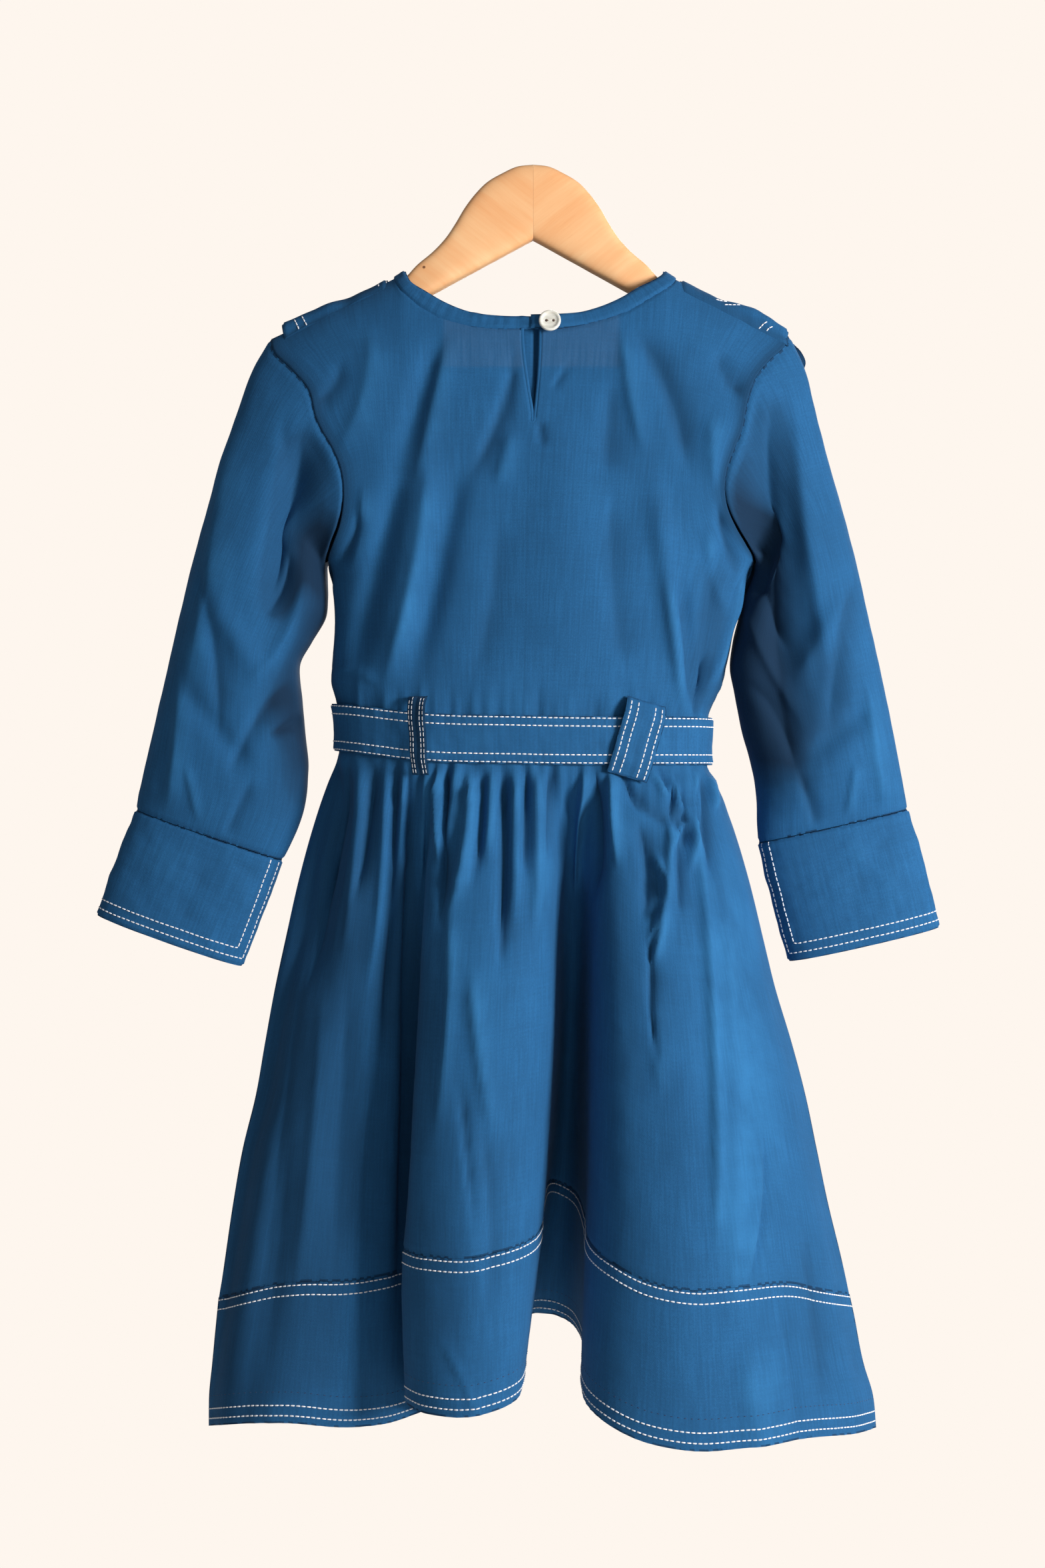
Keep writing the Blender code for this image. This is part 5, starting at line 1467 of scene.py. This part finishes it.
def line_lining(obj):
    """Marks where the facing inside the back shows through the cloth under the neck."""
    mesh = obj.data
    points = np.empty(len(mesh.vertices) * 3, np.float32)
    mesh.vertices.foreach_get("co", points)
    x, y, z = points.reshape(-1, 3).T / MM
    shown = ramp(z, -123.5, -121.5) * ramp(51 - np.abs(x + 1), 0, 3) * (y < 0)
    layer = mesh.attributes.new("lining", "FLOAT", "POINT")
    layer.data.foreach_set("value", shown.astype(np.float32))


def loop_runs(loop):
    """The rows and columns of a loop's stitch lines."""
    count, across = loop.top.shape[:2]
    rows = np.linspace(3, count - 4, 60)
    return [(rows, np.full(60, 3 + (across - 7) * share)) for share in LOOP_LINES]


def flap_runs(flap, name):
    """A flap's stitching, inside its two ends and its free edge."""
    ends = flap.turned()
    lines = []
    for distance in FLAP_LINES:
        for from_end in (False, True):
            points, out = ends.line(distance, from_end)
            front = points[:, 1] > 2
            lines.append((points[front], out[front]))
        lines.append(flap.line(distance, True))
    for x0, z0, x1, z1 in FLAP_MARKS[name]:
        marks = []
        for x, z in ((x0, z0), (x1, z1)):
            off = np.hypot(flap.top[..., 0] - x, flap.top[..., 2] - z) + 9 * (flap.top[..., 1] > 1)
            marks.append(np.unravel_index(np.argmin(off), off.shape))
        rows, columns = np.linspace(*marks, 12).T
        lines.append(flap.at(rows, columns))
    return lines


def srgb(red, green, blue):
    """A colour as the renderer's linear values, from the 0 to 255 that a screen shows."""
    shares = np.array([red, green, blue]) / 255
    return (*np.where(shares < 0.04045, shares / 12.92, ((shares + 0.055) / 1.055) ** 2.4).tolist(), 1.0)


def dimmer(colour, share):
    return tuple(part * share for part in colour[:3]) + (1.0,)


class Look:
    """A material and short ways to add nodes to it."""

    def __init__(self, name, roughness=0.8, **settings):
        self.material = bpy.data.materials.new(name)
        self.material.use_nodes = True
        self.nodes = self.material.node_tree.nodes
        self.links = self.material.node_tree.links
        self.shader = self.nodes["Principled BSDF"]
        self.shader.inputs["Roughness"].default_value = roughness
        for socket, value in settings.items():
            self.shader.inputs[socket.replace("_", " ")].default_value = value

    def add(self, kind, settings=(), **values):
        node = self.nodes.new(kind)
        for name, value in dict(settings).items():
            setattr(node, name, value)
        for name, value in values.items():
            self.put(node.inputs[name.replace("_", " ")], value)
        return node

    def put(self, socket, value):
        if isinstance(value, bpy.types.NodeSocket):
            self.links.new(value, socket)
        else:
            socket.default_value = value

    def math(self, operation, first, second=0.0):
        node = self.add("ShaderNodeMath", {"operation": operation})
        self.put(node.inputs[0], first)
        self.put(node.inputs[1], second)
        return node.outputs[0]

    def times(self, first, second):
        return self.math("MULTIPLY", first, second)

    def place(self):
        """Each point's place on its object, in metres."""
        return self.add("ShaderNodeTexCoord").outputs["Object"]

    def attribute(self, name):
        return self.add("ShaderNodeAttribute", {"attribute_name": name}).outputs["Fac"]

    def scaled(self, vector, across, up, deep=1.0):
        node = self.add("ShaderNodeMapping", Vector=vector)
        node.inputs["Scale"].default_value = (across, up, deep)
        return node.outputs[0]

    def noise(self, vector, scale, detail=2.0, rough=0.55):
        node = self.add("ShaderNodeTexNoise", Vector=vector, Scale=scale, Detail=detail, Roughness=rough)
        return node.outputs["Fac"]

    def blend(self, share, first, second):
        node = self.add("ShaderNodeMix", {"data_type": "RGBA"})
        self.put(node.inputs["Factor"], share)
        self.put(node.inputs[6], first)
        self.put(node.inputs[7], second)
        return node.outputs[2]

    def spread(self, value, low, high):
        """value from low to high as 0 to 1."""
        node = self.add("ShaderNodeMapRange", Value=value)
        node.inputs["From Min"].default_value = low
        node.inputs["From Max"].default_value = high
        return node.outputs["Result"]

    def bump(self, height, distance, strength=1.0):
        node = self.add("ShaderNodeBump", Height=height, Distance=distance, Strength=strength)
        self.links.new(node.outputs["Normal"], self.shader.inputs["Normal"])

    def color(self, value):
        self.put(self.shader.inputs["Base Color"], value)


def denim(name, dark, mid, light, wear_and_highlight):
    """A fine plain weave of blue and paler threads, with slubs, paler on its crests as wear and painted
    highlight, and darker where the crest channel runs low as painted shade.
    """
    look = Look(name, roughness=0.86, Sheen_Weight=0.08, Sheen_Roughness=0.45, Specular_IOR_Level=0.18)
    look.shader.inputs["Sheen Tint"].default_value = srgb(150, 190, 235)
    place = look.add("ShaderNodeUVMap", {"uv_map": "cloth"}).outputs["UV"]
    cloth = look.scaled(place, 1000, 1000)
    parts = look.add("ShaderNodeSeparateXYZ", Vector=cloth)
    turn = 2 * math.pi / THREAD_PITCH
    warp = look.math("SINE", look.times(parts.outputs["X"], turn))
    weft = look.math("SINE", look.times(parts.outputs["Y"], turn))
    weave = look.times(warp, weft)
    down = look.noise(look.scaled(cloth, 0.75, 0.035), 1.0, 3)
    over = look.noise(look.scaled(cloth, 0.03, 0.8), 1.0, 3)
    grain = look.noise(cloth, 0.85, 3, 0.7)
    cloud = look.noise(cloth, 0.022, 3)
    tone = look.times(weave, 0.06)
    for field, share in ((down, 0.75), (over, 0.25), (grain, 0.7), (cloud, 0.5)):
        tone = look.math("ADD", tone, look.times(look.math("SUBTRACT", field, 0.5), share))
    tone = look.spread(tone, -1.0, 1.0)
    base = look.blend(look.spread(tone, 0.0, 0.55), dark, mid)
    base = look.blend(look.spread(tone, 0.5, 1.0), base, light)
    crest = look.attribute("crest")
    # Crests are paler: part wear, part painted highlight.
    uneven = look.times(look.spread(crest, 0.05, 1.1), look.spread(cloud, 0.25, 0.75))
    base = look.blend(look.times(uneven, 0.42), base, wear_and_highlight)
    # Troughs and places set low in the crest channel are painted darker as shade, the deepest much darker.
    valley = look.spread(look.times(crest, -1), 0.1, 1.2)
    base = look.blend(look.times(valley, 0.6), base, dark)
    deep = look.spread(look.times(crest, -1), 1.0, 2.0)
    base = look.blend(look.times(deep, 0.75), base, srgb(12, 30, 50))
    lining = look.attribute("lining")
    streaks = look.times(lining, look.spread(down, 0.1, 0.7))
    base = look.blend(look.times(streaks, 0.2), base, srgb(92, 108, 130))
    look.color(base)
    height = look.math("ADD", look.times(weave, 0.35), look.times(down, 0.8))
    height = look.math("ADD", height, look.times(grain, 1.1))
    look.bump(height, 0.0001, 0.7)
    return look.material


def thread(name, colour):
    look = Look(name, roughness=0.6, Sheen_Weight=0.2, Specular_IOR_Level=0.3)
    place = look.place()
    fuzz = look.noise(place, 3200, 2)
    look.color(look.blend(look.spread(fuzz, 0.3, 0.7), dimmer(colour, 0.88), colour))
    look.bump(fuzz, 0.0001, 0.6)
    return look.material


def wood(name, slant):
    """Pale varnished wood whose grain runs down an arm of the hanger."""
    look = Look(name, roughness=0.5, Coat_Weight=0.2, Coat_Roughness=0.3, Specular_IOR_Level=0.35)
    place = look.place()
    turned = look.add("ShaderNodeMapping", Vector=place)
    turned.inputs["Rotation"].default_value = (0, math.radians(slant), 0)
    along = look.scaled(turned.outputs[0], 9, 60, 150)
    rings = look.noise(look.scaled(turned.outputs[0], 5, 30, 70), 1.0, 4, 0.6)
    grain = look.noise(along, 1.6, 5, 0.7)
    pores = look.noise(look.scaled(turned.outputs[0], 40, 900, 1500), 1.0, 2, 0.6)
    tone = look.math("ADD", look.times(rings, 0.7), look.times(grain, 0.45))
    base = look.blend(look.spread(tone, 0.38, 0.74), srgb(246, 176, 118), srgb(255, 204, 150))
    base = look.blend(look.times(look.spread(pores, 0.62, 0.8), 0.2), base, srgb(214, 138, 82))
    knot = look.add("ShaderNodeVectorMath", {"operation": "DISTANCE"})
    look.links.new(place, knot.inputs[0])
    knot.inputs[1].default_value = tuple(part * MM for part in KNOT_AT)
    near = look.spread(knot.outputs["Value"], 0.0011, 0.0006)
    base = look.blend(look.times(near, 0.85), base, srgb(96, 52, 28))
    look.color(base)
    look.bump(look.math("ADD", pores, rings), 0.00006, 0.4)
    return look.material


def ivory():
    look = Look("button ivory", roughness=0.35, Coat_Weight=0.3, Coat_Roughness=0.2, Subsurface_Weight=0.05)
    place = look.place()
    veins = look.noise(look.scaled(place, 260, 400, 700), 1.0, 3)
    look.color(look.blend(look.spread(veins, 0.3, 0.7), srgb(222, 217, 203), srgb(244, 241, 232)))
    look.bump(veins, 0.00004, 0.4)
    return look.material


def plain(name, colour):
    """The pale floor: matte, with the faintest mottling."""
    look = Look(name, roughness=0.9)
    place = look.place()
    look.color(look.blend(look.noise(place, 3.0, 3), dimmer(colour, 0.96), colour))
    return look.material


def make_floor():
    bpy.ops.mesh.primitive_circle_add(
        vertices=96, radius=FLOOR_RADIUS, fill_type="NGON", location=(0, 0, FLOOR_HEIGHT * MM)
    )
    floor = bpy.context.object
    floor.name = "floor"
    floor.data.materials.append(plain("floor cream", srgb(252, 246, 238)))


def make_world():
    """Cream behind everything, and a dimmer even light from all round."""
    world = bpy.data.worlds.new("studio")
    bpy.context.scene.world = world
    world.use_nodes = True
    nodes, links = world.node_tree.nodes, world.node_tree.links
    nodes.clear()
    seen, light = nodes.new("ShaderNodeBackground"), nodes.new("ShaderNodeBackground")
    seen.inputs["Color"].default_value = srgb(254, 246, 238)
    light.inputs["Color"].default_value = srgb(250, 248, 246)
    light.inputs["Strength"].default_value = WORLD_LIGHT
    rays, choose, out = (nodes.new(f"ShaderNode{kind}") for kind in ("LightPath", "MixShader", "OutputWorld"))
    links.new(rays.outputs["Is Camera Ray"], choose.inputs["Fac"])
    links.new(light.outputs[0], choose.inputs[1])
    links.new(seen.outputs[0], choose.inputs[2])
    links.new(choose.outputs[0], out.inputs["Surface"])


def make_light(name, place, size, power, colour):
    """A soft square light aimed at the middle of the dress, its place in metres."""
    light = bpy.data.lights.new(name, "AREA")
    light.size, light.energy, light.color = size, power, colour
    obj = placed(name, light)
    obj.location = place
    obj.rotation_mode = "QUATERNION"
    aim = Vector((0, 0, -0.36)) - Vector(place)
    obj.rotation_quaternion = aim.to_track_quat("-Z", "Y")


def make_camera():
    camera = bpy.data.cameras.new("camera")
    camera.sensor_width = 36.0
    camera.lens = camera.sensor_width / 2 / (FRAME_HIGH / 2 / -CAMERA_AT[1])
    obj = placed("camera", camera)
    obj.location = tuple(part * MM for part in CAMERA_AT)
    obj.rotation_euler = (math.pi / 2, 0, 0)
    bpy.context.scene.camera = obj


make_floor()
make_world()
for light in LIGHTS:
    make_light(*light)
make_camera()
bpy.context.scene.view_settings.view_transform = "Standard"

CLOTH = (
    denim("denim", srgb(20, 58, 90), srgb(34, 92, 140), srgb(45, 112, 168), srgb(60, 138, 196)),
    # The inside: the same denim about 0.7 times as bright, painted shade for the cloth's inner faces and the
    # facings.
    denim("denim inside shaded", srgb(14, 40, 64), srgb(24, 64, 100), srgb(34, 84, 126), srgb(44, 98, 144)),
)
WHITE_THREAD = thread("thread white", srgb(250, 250, 254))
BLUE_THREAD = thread("thread blue", srgb(22, 58, 100))
BROWN_THREAD = thread("thread brown", srgb(96, 62, 44))
WOOD_LOOKS = {"left": wood("wood left", -38), "right": wood("wood right", 38)}
IVORY_LOOK = ivory()

made = {}
panels, holes = make_bodice()
made.update({name: parts[0] for name, parts in panels.items()})
line_lining(made["bodice_back"])
made["neck_band"] = make_neck()
make_slit_binding(panels["bodice_back"])
make_placket()
cuffs = {}
for name, side, table, cuff, hole, bends, creases, seed in (
    ("left", -1, SLEEVE_LEFT, CUFF_LEFT, holes[0], LEFT_BENDS, LEFT_CREASES, 31),
    ("right", 1, SLEEVE_RIGHT, CUFF_RIGHT, holes[1], RIGHT_BENDS, RIGHT_CREASES, 37),
):
    made[f"sleeve_{name}"], cuffs[name] = make_sleeve(name, side, table, cuff, hole, bends, creases, seed)
    made[f"cuff_{name}"] = cuffs[name][0]
skirt = make_skirt()
made.update({name: parts[0] for name, parts in skirt.items()})
made["belt"], belt = make_belt()
flaps = {}
for name, side in (("left", -1), ("right", 1)):
    made[f"flap_{name}"], flaps[name] = make_flap(name, side)
loops = {}
for name, corners in LOOPS.items():
    made[name], loops[name] = make_loop(name, corners, LOOP_TURN[name])
make_hanger()
button_thread = make_button()

hem = [skirt[f"hem_{name}"][1] for name in ("back", "front")]
stitches("stitches_hem", [panel.line(d) for panel in hem for d in HEM_LINES], WHITE_THREAD, 1)
stitches("stitches_border", [panel.line(d, True) for panel in hem for d in BORDER_LINES], WHITE_THREAD, 2)
allowance = [panel.line(ALLOWANCE_LINE) for panel in hem]
stitches("stitches_turning", allowance, BLUE_THREAD, 3, pitch=3.6, long=1.2, half=0.22, rise=0.02)
belt_runs = [belt.line(d, end) for end in (False, True) for d in BELT_LINES]
stitches("stitches_belt", belt_runs, WHITE_THREAD, 4)
for name, loop in loops.items():
    runs = [loop.at(*run) for run in loop_runs(loop)]
    stitches(f"stitches_{name}", runs, WHITE_THREAD, 5, half=LOOP_THREAD[name])
for name in ("left", "right"):
    stitches(f"stitches_cuff_{name}", cuff_lines(cuffs[name][1], name), WHITE_THREAD, 6)
    stitches(f"stitches_flap_{name}", flap_runs(flaps[name], name), WHITE_THREAD, 7, pitch=2.6)
stitches("button_thread", button_thread, BROWN_THREAD, 8, pitch=9, long=1.3, half=0.26)
for name in ("facing_left", "facing_right"):
    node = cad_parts[name]
    node.data.materials.clear()
    node.data.materials.append(CLOTH[1])
